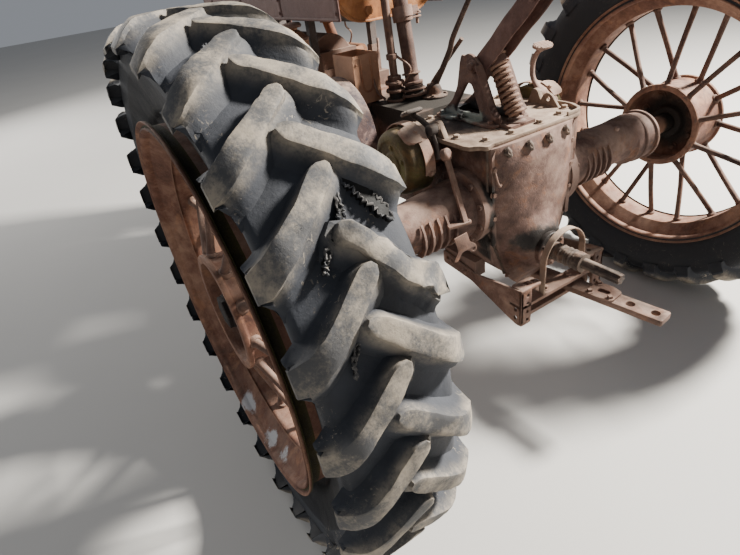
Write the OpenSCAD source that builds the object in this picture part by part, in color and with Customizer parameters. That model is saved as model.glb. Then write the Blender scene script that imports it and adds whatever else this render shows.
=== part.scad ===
// Row-crop tractor of the 1930s pattern, as parked: two tall spoked rear wheels and a close front pair.
// +Z is up and the tractor faces -Y. The origin lies on the ground, under the middle of the whole length.

/* [Stance] */
// Rear axle to the steering pivot
wheelbase = 2220; // [2100:10:2400]
// Rear wheels, centre to centre
rear_tread = 1864; // [1750:2:2000]
// Front wheels, centre to centre at the hubs
front_tread = 316; // [300:2:360]
// Lean of each front wheel, tops apart
front_camber = 3; // [0:0.5:5]

/* [Rear wheels] */
// Radius to the lug tips
rear_tyre_r = 705; // [690:1:720]
// Height of a lug above the crown of the casing
lug_h = 38; // [28:1:44]
// Lugs on each side of a tyre
lug_count = 27; // [24:1:30]
// Width of a lug along the tread
lug_w = 54; // [44:1:60]
// Widest half of the tyre section
tyre_half_w = 142; // [136:1:150]
// Radius of the rim lips
lip_r = 505; // [500:1:510]
// Radius of the bead seats
seat_r = 484; // [480:1:488]
// Depth of the rim well below the bead seats
well_drop = 54; // [46:1:60]
// Half width of the rim over its lips
rim_half_w = 115; // [110:1:122]
// Thickness of the rolled rim
rim_t = 7; // [5:0.5:9]
// Number of spokes in a rear wheel
spoke_count = 20; // [16:2:24]
// Diameter of a rear spoke
spoke_d = 20; // [16:1:24]
// Outer radius of the hub drum
drum_r = 153; // [140:1:165]
// Radius of the driving axle
axle_r = 36; // [30:1:40]
// How far the left tyre's outer bead has left its seat
bead_slip = 48; // [0:1:56]

/* [Front wheels] */
// Radius over the tread ribs
front_tyre_r = 345; // [330:1:360]
// Radius of the tyre section
front_section_r = 70; // [62:1:76]
// Radius of the front rim lips
front_lip_r = 222; // [210:1:230]
// Number of spokes in a front wheel
front_spoke_count = 10; // [6:1:12]

/* [Castings] */
// Half width of the gear case
case_half_w = 185; // [175:1:195]
// Height of the top of the gear case
case_top_z = 925; // [910:1:940]
// Height of the bottom of the gear case
case_low_z = 432; // [410:1:450]
// Rear face of the gear case, behind the axle
case_rear_y = 96; // [80:1:110]
// Thickness of the top cover
cover_t = 14; // [10:1:18]
// Height of the axle centre line of the housings above the wheel centres
horn_lift = 14; // [0:1:24]
// Outer end of the axle housings, from the middle
horn_end_x = 740; // [700:1:760]
// Radius of the belt pulley
pulley_r = 220; // [190:1:235]
// Width of the belt pulley
pulley_w = 150; // [120:1:165]
// Radius of the brake drums
brake_r = 108; // [95:1:115]

/* [Hitch] */
// Height of the top of the drawbar
drawbar_z = 402; // [380:1:420]
// Width of the drawbar
drawbar_w = 64; // [55:1:75]
// Thickness of the drawbar
drawbar_t = 22; // [18:1:25]
// Swing of the drawbar to the right
drawbar_swing = 8; // [0:1:12]
// Diameter of the drawbar pin hole
hitch_pin_d = 26; // [20:1:32]
// Height of the power take-off shaft
pto_z = 555; // [540:1:570]
// Diameter of the power take-off shaft
pto_d = 35; // [28:0.5:38]

/* [Hood] */
// Height of the lower edge of the hood
hood_low_z = 1262; // [1240:1:1280]
// Height of the top of the hood
hood_top_z = 1520; // [1490:1:1540]
// Half width of the hood
hood_half_w = 232; // [220:1:245]
// Rear edge of the hood, ahead of the axle
hood_rear_y = -576; // [-600:1:-550]
// Front edge of the hood, behind the steering pivot
hood_setback = 204; // [190:1:230]
// Thickness of the hood and tank sheet
sheet_t = 4; // [3:0.5:6]

/* [Driver] */
// Radius of the steering wheel
steering_wheel_r = 205; // [180:1:225]
// Slope of the steering shaft, down towards the front
shaft_slope = 1; // [0:0.25:2]
// Radius of the steering shaft
shaft_r = 12; // [10:0.5:14]
// Radius of the seat pan
seat_pan_r = 215; // [190:1:230]
// Mean radius of the seat spring
spring_r = 22; // [18:1:26]
// Wire diameter of the seat spring
spring_wire_d = 9; // [7:0.5:11]
// Turns of the seat spring
spring_turns = 10; // [8:1:12]

/* [Hidden] */
$fn = 64;

rust = "#7a4a36";
rust_light = "#96603f";
iron = "#6e4b3c";
hood_red = "#6b3a34";
olive = "#5c5a2a";
rubber = "#3b3d42";
oily = "#2e2927";

axle_z = rear_tyre_r;
front_reach = wheelbase + front_tyre_r;
axle_y = (front_reach - rear_tyre_r) / 2;
wheel_x = rear_tread / 2;
well_r = seat_r - well_drop;
hood_front_y = hood_setback - wheelbase;
seat_gap = 0.3;
bearing_gap = 0.4;
lug_phase = 11.9;

// Places a piece from the rear axle: Y is measured from the axle and Z from the ground.
module from_axle(p = [0, 0, 0]) translate([p.x, axle_y + p.y, p.z]) children();

// Turns a profile, drawn as [radius, position along X], about the X axis.
module turned(angle = 360, start = 0)
  rotate([0, 90, 0]) rotate_extrude(angle = angle, start = start) children();

// A round bar between two points.
module bar(a, b, r) {
  d = b - a;
  reach = norm(d);
  translate(a)
    rotate([0, acos(d.z / reach), atan2(d.y, d.x)])
      cylinder(r = r, h = reach);
}

// A pin or boss along X, centred on its place.
module cross_pin(r, w) rotate([0, 90, 0]) cylinder(r = r, h = w, center = true);

// A hole along X.
module cross_hole(p, r, w = 60) translate(p) cross_pin(r, w);

// An outline in Y and Z, made w thick along X from x.
module plate_x(x, w) translate([x, 0, 0]) rotate([90, 0, 90]) linear_extrude(w) children();

// An outline in X and Z, made t thick along Y from y towards the front.
module plate_y(y, t) translate([0, y, 0]) rotate([90, 0, 0]) linear_extrude(t) children();

// The chevron tyre of a rear wheel, with +X outboard: one closed skin of rings round the section, from
// which the lugs stand in two staggered rows.
// Each ring is [radius, distance from the middle, swing along the tread].
crown_r = rear_tyre_r - lug_h;
bead_r = (seat_r + seat_gap) / cos(180 / (2 * lug_count));
casing_t = 20;
bead_t = 24;
half_pitch = 180 / lug_count;
tail_swing = -52;

// Stations along a lug: [base radius, base distance, top radius, top distance, swing, half top width].
lug_stations = [
  [crown_r, 0, rear_tyre_r, 0, 62, lug_w / 2],
  [crown_r - 3, 66, rear_tyre_r - 2, 66, 4, lug_w / 2],
  [crown_r - 17, tyre_half_w - 20, rear_tyre_r - 13, tyre_half_w - 15, -40, lug_w / 2 + 2],
  [625, tyre_half_w - 1, 642, tyre_half_w + 9, tail_swing, lug_w / 2 + 2]];
tails = len(lug_stations) - 1;

function side_rings(bead) = concat(
  [for (j = [1:tails]) [lug_stations[j][0], lug_stations[j][1], lug_stations[j][4]]],
  [[588, tyre_half_w, tail_swing], [bead_r + 22, bead, tail_swing], [bead_r, bead, tail_swing],
   [bead_r, bead - bead_t, tail_swing], [600, tyre_half_w - casing_t, tail_swing]]);

function inboard(rings) = [for (i = [len(rings) - 1:-1:0]) [rings[i][0], -rings[i][1], rings[i][2]]];

function tread_angle(swing) = lug_phase + swing / rear_tyre_r * 180 / PI;
function on_tyre(r, x, angle) = [x, r * cos(angle), r * sin(angle)];
function two_triangles(a, b, c, d) = [[a, b, c], [a, c, d]];

module rear_tyre(bead, shift) {
  middle = [lug_stations[0][0], 0, lug_stations[0][4]];
  rings = concat([middle], side_rings(bead), [[crown_r - casing_t, 0, tail_swing]],
    inboard(side_rings(bead)));
  around = 2 * lug_count;
  ring_count = len(rings);
  ring_pts = [for (g = rings, k = [0:around - 1])
    on_tyre(g[0], g[1], tread_angle(g[2]) + (k - 0.5) * half_pitch)];
  top_pts = [for (side = [0, 1], i = [0:lug_count - 1], s = lug_stations, edge = [-1, 1])
    on_tyre(s[2], side == 0 ? s[3] : -s[3],
      tread_angle(s[4] + edge * s[5]) + (2 * i + side) * half_pitch)];

  function ring_at(g, k) = (g % ring_count) * around + k % around;
  function base_at(side, i, j, edge) =
    ring_at(side == 0 ? j : ring_count - j, 2 * i + side + edge);
  function top_at(side, i, j, edge) =
    len(ring_pts) + ((side * lug_count + i) * (tails + 1) + j) * 2 + edge;
  function lug_at(side, i, j) = [base_at(side, i, j, 0), top_at(side, i, j, 0), top_at(side, i, j, 1),
    base_at(side, i, j, 1)];
  function under_lug(g, k) = (g < tails && k % 2 == 0) || (g >= ring_count - tails && k % 2 == 1);

  skin = [for (g = [0:ring_count - 1], k = [0:around - 1]) if (!under_lug(g, k))
    each two_triangles(ring_at(g, k), ring_at(g + 1, k), ring_at(g + 1, k + 1), ring_at(g, k + 1))];
  lug_sides = [for (side = [0, 1], i = [0:lug_count - 1], j = [0:tails - 1], m = [0:2])
    let (a = lug_at(side, i, side == 0 ? j : j + 1), b = lug_at(side, i, side == 0 ? j + 1 : j))
      each two_triangles(a[m], b[m], b[m + 1], a[m + 1])];
  lug_ends = [for (side = [0, 1], i = [0:lug_count - 1])
    let (a = lug_at(side, i, side == 0 ? 0 : tails), b = lug_at(side, i, side == 0 ? tails : 0))
      each concat(two_triangles(a[0], a[1], a[2], a[3]), two_triangles(b[3], b[2], b[1], b[0]))];
  color(rubber) translate([shift, 0, 0])
    polyhedron(points = concat(ring_pts, top_pts), faces = concat(skin, lug_sides, lug_ends));
}

// The spoked rear wheel, with +X outboard

hub_in_x = -88;
hub_out_x = 48;
drum_t = 12;
drum_spoke_rows = [hub_in_x + 16, hub_out_x - 15];
rim_spoke_rows = [8, -8];
spoke_phase = 88;

function flipped(pts) = [for (i = [len(pts) - 1:-1:0]) [pts[i].x, -pts[i].y]];

module rim_section() {
  lip_in = rim_half_w - rim_t;
  outer = [[lip_r, lip_in], [seat_r, lip_in], [seat_r, 80], [well_r + rim_t, 46]];
  inner = [[lip_r, rim_half_w], [seat_r - rim_t, rim_half_w], [seat_r - rim_t, 83], [well_r, 50]];
  polygon(concat(outer, flipped(outer), [for (p = inner) [p.x, -p.y]], [for (i = [3:-1:0]) inner[i]]));
}

module hub_section() {
  polygon([[drum_r - drum_t, hub_in_x], [drum_r + 9, hub_in_x], [drum_r + 9, hub_in_x + 12],
    [drum_r, hub_in_x + 16], [drum_r, hub_out_x - 16], [drum_r + 9, hub_out_x - 12],
    [drum_r + 9, hub_out_x], [drum_r - drum_t, hub_out_x], [drum_r - drum_t, 8],
    [70, 18], [62, 74], [0, 74], [0, -30], [62, -30], [70, -6], [drum_r - drum_t, -8]]);
}

module rear_spokes() {
  for (i = [0:spoke_count - 1]) {
    row = i % 2;
    a = [drum_spoke_rows[row], drum_r - drum_t / 2, 0];
    b = [rim_spoke_rows[row], well_r + rim_t / 2, 0];
    rotate([spoke_phase + i * 360 / spoke_count, 0, 0]) bar(a, b, spoke_d / 2);
  }
}

module rear_rim() {
  shaft_in = wheel_x - horn_end_x + 54;
  color(rust_light) union() {
    turned() rim_section();
    turned() hub_section();
    rear_spokes();
    translate([-shaft_in, 0, 0]) rotate([0, 90, 0]) cylinder(r = axle_r, h = shaft_in + 96);
  }
}

module rear_left() from_axle([wheel_x, 0, axle_z]) children();
module rear_right() from_axle([-wheel_x, 0, axle_z]) mirror([1, 0, 0]) children();

bead_full = rim_half_w - rim_t - seat_gap;

module rear_rim_left() rear_left() rear_rim();
module rear_rim_right() rear_right() rear_rim();
module rear_tyre_left() rear_left() rear_tyre(bead_full - bead_slip / 2, -bead_slip / 2);
module rear_tyre_right() rear_right() rear_tyre(bead_full, 0);

// Front wheels, with +X outboard

front_hub_r = 48;
spindle_r = 19;
front_rim_half_w = 62;
front_section_z = front_tyre_r - front_section_r;
front_hub_z = front_section_z * cos(front_camber) + front_section_r;

module front_wheel_place(side)
  from_axle([side * front_tread / 2, -wheelbase, front_hub_z])
    mirror([side < 0 ? 1 : 0, 0, 0]) rotate([0, front_camber, 0]) children();

// The closed casing: an outer round over two straight walls down to the beads, hollow inside.
module front_casing(half, bead_half, wall_x, low) {
  translate([front_section_z, 0]) circle(r = half);
  polygon([[low, bead_half], [wall_x, half - 1.5], [wall_x, 1.5 - half], [low, -bead_half]]);
}

module front_tyre() {
  rib_h = 8;
  casing_r = front_section_r - rib_h;
  wall_x = front_section_z - 8;
  color(rubber) turned() difference() {
    union() {
      front_casing(casing_r, 49, wall_x, front_lip_r - 8);
      for (y = [-38, 0, 38]) translate([front_section_z + 30, y - 9])
        square([sqrt(pow(front_section_r, 2) - y * y) - 30, 18]);
    }
    front_casing(casing_r - 13, 37, wall_x, front_lip_r - 9);
  }
}

module front_rim() {
  seat = front_lip_r - 8 - seat_gap;
  well = 190;
  color(rust) union() {
    turned() polygon([[front_lip_r, 52], [seat, 50], [seat, 34], [well + 5, 20], [well + 5, -20],
      [seat, -34], [seat, -50], [front_lip_r, -52], [front_lip_r, -57], [seat - 6, -56],
      [seat - 6, -37], [well, -22], [well, 22], [seat - 6, 37], [seat - 6, 56], [front_lip_r, 57]]);
    for (i = [0:front_spoke_count - 1]) rotate([i * 360 / front_spoke_count, 0, 0])
      bar([i % 2 == 0 ? -20 : 20, front_hub_r - 8, 0], [0, well + 2.5, 0], 8);
    turned() polygon([[spindle_r + bearing_gap, -40], [front_hub_r + 6, -40], [front_hub_r + 6, -28],
      [front_hub_r, -24], [front_hub_r, 26], [front_hub_r - 12, 40], [26, 44], [26, 52], [0, 52],
      [0, 42], [spindle_r + bearing_gap, 42]]);
  }
}

module front_rim_left() front_wheel_place(1) front_rim();
module front_rim_right() front_wheel_place(-1) front_rim();
module front_tyre_left() front_wheel_place(1) front_tyre();
module front_tyre_right() front_wheel_place(-1) front_tyre();

// Gear case, covers and axle housings

tunnel_half_w = 140;
tunnel_front_y = -760;
tunnel_top_z = 955;
case_front_y = -300;
brake_y = -160;
brake_z = 868;
pulley_y = -650;
pulley_z = 850;
pulley_in_x = 225;
horn_z = axle_z + horn_lift;
horn_flange_r = 124;
brake_in_x = 255;
brake_w = 96;
box_z = 962;
hitch_x = 186;
hitch_pivot_r = 16;
drawbar_pivot_y = -350;
pivot_top_z = drawbar_z + 120;

module case_outline(half_w, top, low) {
  translate([-half_w, low + half_w]) square([2 * half_w, top - low - half_w]);
  translate([0, low + half_w]) circle(r = half_w);
}

module transmission_case() from_axle() color(iron) difference() {
  union() {
    plate_y(case_rear_y, case_rear_y - case_front_y) case_outline(case_half_w, case_top_z, case_low_z);
    plate_y(case_front_y + 1, case_front_y - tunnel_front_y + 1)
      case_outline(tunnel_half_w, tunnel_top_z, 520);
    for (s = [0, 1]) mirror([s, 0, 0]) translate([case_half_w - 4, 0, horn_z])
      rotate([0, 90, 0]) cylinder(r = horn_flange_r, h = 18);
    translate([0, brake_y, brake_z]) cross_pin(56, 2 * (brake_in_x - 14));
    translate([(pulley_in_x - 20) / 2, pulley_y, pulley_z]) cross_pin(96, pulley_in_x - 20);
    plate_y(tunnel_front_y + 24, 24) case_outline(170, tunnel_top_z + 8, 500);
    for (s = [0, 1]) mirror([s, 0, 0]) translate([hitch_x - 46, -120, 452]) cube([46, 160, 60]);
    translate([96, pulley_y - 60, pulley_z]) cube([108, 120, box_z - pulley_z]);
    translate([0, drawbar_pivot_y, drawbar_z + 1]) cylinder(r = 44, h = 160);
  }
  translate([0, drawbar_pivot_y, 0]) cylinder(r = hitch_pivot_r + bearing_gap, h = pivot_top_z + 5);
}

// Rear cover, a shield that bulges to the rear with the power take-off boss low on it
cover_top_half_w = 178;

module shield(inset) {
  w = cover_top_half_w - inset;
  intersection() {
    polygon([[-w, case_top_z - inset], [w, case_top_z - inset], [w, 690], [w * 0.86, 590],
      [w * 0.5, 480 + inset], [-w * 0.5, 480 + inset], [-w * 0.86, 590], [-w, 690]]);
    translate([0, 700]) circle(r = 300 - inset);
  }
}

module rear_cover() from_axle() color(iron) {
  bulge_r = 470;
  difference() {
    union() {
      plate_y(case_rear_y + 14, 14) shield(0);
      intersection() {
        plate_y(case_rear_y + 70, 66) shield(16);
        translate([0, case_rear_y + 52 - bulge_r, 400]) cylinder(r = bulge_r, h = 600);
      }
      translate([0, case_rear_y + 110, pto_z]) rotate([90, 0, 0]) cylinder(r = 60, h = 90);
    }
    translate([0, case_rear_y + 150, pto_z]) rotate([90, 0, 0]) cylinder(r = pto_d / 2 + 14.4, h = 90);
  }
}

// Half outline of the top cover on each side: [x, y].
cover_left = [[231, case_front_y + 24], [232, 78], [200, 112]];
cover_right = [[-205, 112], [-244, 50], [-244, case_front_y + 24]];
ear_x = 206;
ear_y = -80;
ear_z = 966;
ear_pin_r = 10;

module top_cover() from_axle() color(rust) {
  translate([0, 0, case_top_z]) difference() {
    union() {
      linear_extrude(cover_t) polygon(concat(cover_left, cover_right));
      for (s = [0, 1]) mirror([s, 0, 0])
        translate([ear_x, ear_y - 18, 0]) cube([18, 36, ear_z - case_top_z + 18]);
    }
    translate([0, ear_y, ear_z - case_top_z]) cross_pin(ear_pin_r + bearing_gap, 500);
    for (x = [-140, 140], y = [-250, 84]) translate([x, y, -1]) cylinder(r = 6, h = cover_t + 2);
  }
}

module axle_horn() {
  flange_x = case_half_w + 14;
  seal_x = horn_end_x - 18;
  translate([0, 0, horn_z]) difference() {
    union() {
      turned() polygon([[0, flange_x], [horn_flange_r, flange_x], [horn_flange_r, flange_x + 16],
        [100, flange_x + 26], [92, 300], [82, 420], [80, 540], [84, 600], [84, 640],
        [60, seal_x], [0, seal_x]]);
      translate([0, 0, -horn_lift]) turned() polygon([[0, 560], [70, 560], [88, 600], [90, 690], [90, 700],
        [97, 702], [97, 712], [66, 712], [66, horn_end_x], [0, horn_end_x]]);
      for (i = [0:3]) translate([flange_x + 120 + i * 34, -30, -100]) cube([9, 60, 60]);
      translate([flange_x + 10, 40, -70]) rotate([0, 90, 0]) cylinder(r = 24, h = 40);
    }
    translate([horn_end_x - 62, 0, -horn_lift])
      rotate([0, 90, 0]) cylinder(r = axle_r + bearing_gap, h = 70);
  }
}

module axle_housing_left() from_axle() color(iron) axle_horn();
module axle_housing_right() from_axle() mirror([1, 0, 0]) color(iron) axle_horn();

// Brakes beside the case

module brake_drums() from_axle([0, brake_y, brake_z]) for (s = [0, 1]) mirror([s, 0, 0])
  color(olive) turned() polygon([[0, brake_in_x - 13.7], [40, brake_in_x - 13.7], [40, brake_in_x + 16],
    [brake_r - 8, brake_in_x + 16], [brake_r - 8, brake_in_x], [brake_r, brake_in_x],
    [brake_r, brake_in_x + brake_w - 12], [brake_r - 12, brake_in_x + brake_w], [34, brake_in_x + brake_w],
    [34, brake_in_x + brake_w - 10], [0, brake_in_x + brake_w - 10]]);

guard_in_x = brake_in_x + 10;
guard_band_r = brake_r + 8;

module brake_guards() from_axle([0, brake_y, brake_z]) for (s = [0, 1]) mirror([s, 0, 0]) color(rust) {
  turned(angle = 190, start = 100) polygon([[guard_band_r, guard_in_x], [guard_band_r + 6, guard_in_x],
    [guard_band_r + 6, guard_in_x + 40], [guard_band_r, guard_in_x + 40]]);
  turned(angle = 34, start = 116) polygon([
    [guard_band_r - 1, guard_in_x + 36], [guard_band_r + 6, guard_in_x + 36],
    [guard_band_r + 6, guard_in_x + 74], [guard_band_r - 1, guard_in_x + 74]]);
  translate([case_half_w, -guard_band_r - 6, -60]) cube([guard_in_x + 40 - case_half_w, 8, 36]);
}

module belt_pulley() from_axle([0, pulley_y, pulley_z]) color(rust) turned() {
  out = pulley_in_x + pulley_w;
  polygon([[0, pulley_in_x - 20], [58, pulley_in_x - 20], [58, pulley_in_x + 34], [66, pulley_in_x + 44],
    [pulley_r - 9, pulley_in_x + 62], [pulley_r - 9, pulley_in_x], [pulley_r - 3, pulley_in_x],
    [pulley_r, pulley_in_x + pulley_w / 2], [pulley_r - 3, out], [pulley_r - 9, out],
    [pulley_r - 9, pulley_in_x + 74], [62, pulley_in_x + 60], [44, out - 40], [0, out - 40]]);
}

// Power take-off and hitch

pto_start_y = case_rear_y + 64;
pto_end_y = 458;
sleeve_r = pto_d / 2 + 14;

module pto_shaft() from_axle([0, 0, pto_z]) color(oily) {
  translate([0, 330, 0]) rotate([90, 0, 0]) cylinder(r = sleeve_r, h = 330 - pto_start_y);
  translate([0, pto_end_y, 0]) rotate([90, 0, 0]) cylinder(r = pto_d / 2, h = pto_end_y - pto_start_y);
}

guard_r = 94;
guard_y = 262;
guard_w = 24;
beam_z = 432;
beam_t = 12;

module pto_guard() from_axle([0, guard_y, 0]) color(rust) {
  plate_y(0, guard_w) difference() {
    union() {
      translate([0, pto_z]) circle(r = guard_r);
      translate([-guard_r, beam_z + beam_t]) square([2 * guard_r, pto_z - beam_z - beam_t]);
    }
    translate([0, pto_z]) circle(r = guard_r - 6);
    translate([6 - guard_r, beam_z]) square([2 * guard_r - 12, pto_z - beam_z]);
  }
}

drawbar_len = 905;

module drawbar() from_axle([0, drawbar_pivot_y, drawbar_z - drawbar_t])
  rotate([0, 0, drawbar_swing]) color(rust) difference() {
    union() {
      translate([-drawbar_w / 2, 0, 0]) cube([drawbar_w, drawbar_len, drawbar_t]);
      cylinder(r = drawbar_w / 2, h = drawbar_t);
      translate([-44, drawbar_len - 250, drawbar_t]) cube([88, 96, 10]);
      cylinder(r = hitch_pivot_r, h = pivot_top_z - drawbar_z + drawbar_t);
    }
    for (y = [drawbar_len - 34, drawbar_len - 112])
      translate([0, y, -1]) cylinder(r = hitch_pin_d / 2, h = drawbar_t + 2);
    for (y = [drawbar_len - 212, drawbar_len - 192])
      translate([0, y, drawbar_t - 6]) cylinder(r = 11, h = 20);
  }

// Side plates of the hitch: outline as [y, z].
side_plate = [[-120, 504], [50, 474], [262, 504], [262, 366], [236, 366], [30, 438], [-120, 452]];
rest_t = 14;
rest_z = drawbar_z - drawbar_t - rest_t;
rest_half_w = 162;

module drawbar_frame() from_axle() color(rust) difference() {
  union() {
    for (s = [0, 1]) mirror([s, 0, 0]) {
      plate_x(hitch_x, 10) polygon(side_plate);
      translate([150, 250, 366]) cube([hitch_x + 10 - 150, 12, 138]);
      translate([106, 210, 492]) cube([hitch_x + 10 - 106, 52, 12]);
    }
    translate([-hitch_x - 10, 212, beam_z]) cube([2 * hitch_x + 20, 50, beam_t]);
    translate([-rest_half_w, 196, rest_z]) cube([2 * rest_half_w, 40, rest_t]);
    for (x = [-rest_half_w, rest_half_w - 12]) translate([x, 212, rest_z])
      cube([12, 24, beam_z - rest_z + 1]);
  }
  for (s = [-1, 1], z = [392, 424]) cross_hole([s * (hitch_x + 5), 236, z], 8, 40);
  for (s = [-1, 1], x = [124, 148]) translate([s * x, 236, 480]) cylinder(r = 7, h = 40);
}

// Seat

bracket_x = 40;
bracket_t = 14;
bracket_top = [-112, 1128];
base_z = case_top_z + cover_t;
bar_rise = 44;
bar_pivot = [-96, 1112];

module bracket_side() {
  difference() {
    polygon([[-268, base_z], [20, base_z], [20, base_z + 26], [-70, bracket_top.y + 6],
      [-96, bracket_top.y + 22], [-134, bracket_top.y + 18], [-152, bracket_top.y - 12],
      [-268, base_z + 30]]);
    polygon([[-212, base_z + 28], [-66, base_z + 28], [-116, base_z + 124], [-136, base_z + 124]]);
  }
}

module seat_bracket() from_axle() color(iron) difference() {
  union() {
    for (x = [-bracket_x - bracket_t, bracket_x]) plate_x(x, bracket_t) bracket_side();
    for (s = [0, 1]) mirror([s, 0, 0]) translate([bracket_x, -268, base_z]) cube([42, 288, 12]);
    translate([-bracket_x, -264, base_z]) cube([2 * bracket_x, 46, 24]);
    translate([-bracket_x - bracket_t, 4, base_z]) cube([2 * (bracket_x + bracket_t), 66, 12]);
    difference() {
      bar(spring_low - 30 * spring_dir, spring_low, spring_r + 10);
      translate([-60, -40, 0]) cube([120, 160, base_z]);
    }
    translate([0, bar_pivot.x, bar_pivot.y]) cross_pin(11, 2 * (bracket_x + bracket_t) + 26);
  }
  for (s = [-1, 1], y = [-240, 0]) translate([s * 68, y, base_z - 1]) cylinder(r = 6, h = 30);
}

spring_low = [0, 36, base_z + 26];
spring_high = [0, -52, 1133];
spring_dir = (spring_high - spring_low) / norm(spring_high - spring_low);
ring_steps = 14;
wire_sides = 6;

// A helix of round wire up the Z axis, closed at its two ends.
module coil(turns, rise, r, wire_r) {
  n = turns * ring_steps;
  pts = [for (i = [0:n], k = [0:wire_sides - 1])
    let (a = i * 360 / ring_steps, b = k * 360 / wire_sides, q = r + wire_r * cos(b))
      [q * cos(a), q * sin(a), rise * i / n + wire_r * sin(b)]];
  sides = [for (i = [0:n - 1], k = [0:wire_sides - 1])
    let (m = (k + 1) % wire_sides, p = i * wire_sides, q = p + wire_sides)
      [p + k, q + k, q + m, p + m]];
  low_end = [for (k = [0:wire_sides - 1]) k];
  high_end = [for (k = [wire_sides - 1:-1:0]) n * wire_sides + k];
  polyhedron(points = pts, faces = concat(sides, [low_end, high_end]));
}

module seat_spring() from_axle() color(rust_light) {
  d = spring_high - spring_low;
  reach = norm(d);
  translate(spring_low) rotate([0, acos(d.z / reach), atan2(d.y, d.x)])
    translate([0, 0, seat_gap + spring_wire_d / 2])
      coil(spring_turns, reach - 2 * seat_gap - spring_wire_d, spring_r, spring_wire_d / 2);
}

seat_bar_len = 446;
seat_bar_w = 68;
bar_up = 24;
bar_down = 36;
bar_t = 7;
seat_pad_z = bar_pivot.y + seat_bar_len * sin(bar_rise) + bar_up * cos(bar_rise);
seat_pad_y = bar_pivot.x + seat_bar_len * cos(bar_rise) - bar_up * sin(bar_rise);

module seat_bar() from_axle() color(iron) difference() {
  union() {
    translate([0, bar_pivot.x, bar_pivot.y]) rotate([bar_rise, 0, 0]) difference() {
      translate([-seat_bar_w / 2, -24, -bar_down]) cube([seat_bar_w, seat_bar_len + 24, bar_up + bar_down]);
      translate([bar_t - seat_bar_w / 2, -40, -bar_down - 1])
        cube([seat_bar_w - 2 * bar_t, seat_bar_len + 60, bar_up + bar_down + 1 - bar_t]);
    }
    translate([-40, seat_pad_y - 60, seat_pad_z - 10]) cube([80, 96, 10]);
    intersection() {
      bar(spring_high, spring_high + 60 * spring_dir, spring_r + 2);
      translate([0, bar_pivot.x, bar_pivot.y]) rotate([bar_rise, 0, 0])
        translate([-40, -60, -100]) cube([80, 300, 100 + bar_up - 1]);
    }
  }
  translate([0, bar_pivot.x, bar_pivot.y]) cross_pin(11 + seat_gap, 200);
}

module seat_pan() from_axle([0, seat_pad_y + 16, seat_pad_z + 6 + seat_gap]) color(rust) difference() {
  union() {
    rotate_extrude() polygon([[0, 0], [90, 4], [170, 26], [seat_pan_r, 72], [seat_pan_r + 8, 72],
      [seat_pan_r + 8, 66], [176, 20], [92, -2], [0, -6]]);
    intersection() {
      rotate_extrude() polygon([[seat_pan_r, 60], [seat_pan_r + 30, 150], [seat_pan_r + 36, 150],
        [seat_pan_r + 8, 60]]);
      translate([-300, 60, 0]) cube([600, 300, 200]);
    }
  }
  for (x = [-70, 0, 70], y = [-60, 60]) translate([x, y, -20]) cylinder(r = 9, h = 60);
}

// Pedals and levers

module pedal_pad(w, d, t) {
  rotate([0, 90, 0]) for (s = [-1, 1]) translate([0, s * (d - t) / 2, 0])
    cylinder(r = t / 2, h = w, center = true);
  cube([w, d - t, t], center = true);
}

pad_left = [252, -165, 1008];
pad_right = [-252, -93, 1112];
arm_x = 244;

module pedal_pivot(side) translate([side * (ear_x - 8), ear_y, ear_z]) rotate([0, side * 90, 0]) {
  cylinder(r = ear_pin_r, h = arm_x - ear_x + 16);
  translate([0, 0, 28]) cylinder(r = 13, h = arm_x - ear_x - 13);
}

// The arms are flat bars: outlines as [y, z].
arm_t = 14;
arm_left = [[-64, 958], [-74, 982], [-118, 994], [-156, 1014], [-168, 1006], [-126, 976], [-92, 952]];
arm_right = [[-64, 958], [-70, 982], [-120, 1014], [-124, 1070], [-86, 1104], [-97, 1116], [-140, 1082],
  [-138, 1000], [-92, 952]];

module pedal_left() from_axle() color(rust) {
  translate(pad_left) rotate([24, 0, 0]) pedal_pad(78, 46, 14);
  plate_x(arm_x - arm_t / 2, arm_t) polygon(arm_left);
  pedal_pivot(1);
}

module pedal_right() from_axle() color(rust) {
  translate(pad_right) rotate([-16, 0, 0]) pedal_pad(78, 46, 14);
  plate_x(-arm_x - arm_t / 2, arm_t) polygon(arm_right);
  pedal_pivot(-1);
}

lever_foot = [-52, -432, tunnel_top_z];
lever_ball = lever_foot + [0, 0, 24];
lever_bend = [-78, -350, 1150];
lever_end = [-112, -232, 1356];
rod_foot = [-107, -530, tunnel_top_z];
rod_ball = rod_foot + [0, 0, 18];

// A ball with its poles along Y, clear of the bars that leave it.
module ball(p, r) translate(p) rotate([90, 0, 0]) sphere(r = r);

module levers() from_axle() color(oily) {
  translate(lever_foot) cylinder(r = 30, h = 20);
  ball(lever_ball, 24);
  bar(lever_ball, lever_bend, 11);
  ball(lever_bend, 14);
  bar(lever_bend, lever_end, 9);
  ball(lever_end, 18);
  translate(rod_foot) cylinder(r = 22, h = 14);
  ball(rod_ball, 17);
  bar(rod_ball, [-128, -350, 1150], 8);
}

// Steering post, throttle tube and tool box on top of the case

post_foot = [0, -489, tunnel_top_z];
shaft_low_z = 1566;
shaft_front_y = -wheelbase;

// Places a piece on the steering shaft: +Y runs up the shaft from the front.
module on_shaft(y) from_axle([0, shaft_front_y, shaft_low_z])
  rotate([shaft_slope, 0, 0]) translate([0, y, 0]) children();

post_top = [0, -571, 1572];
post_bearing_y = wheelbase - 565;

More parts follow.
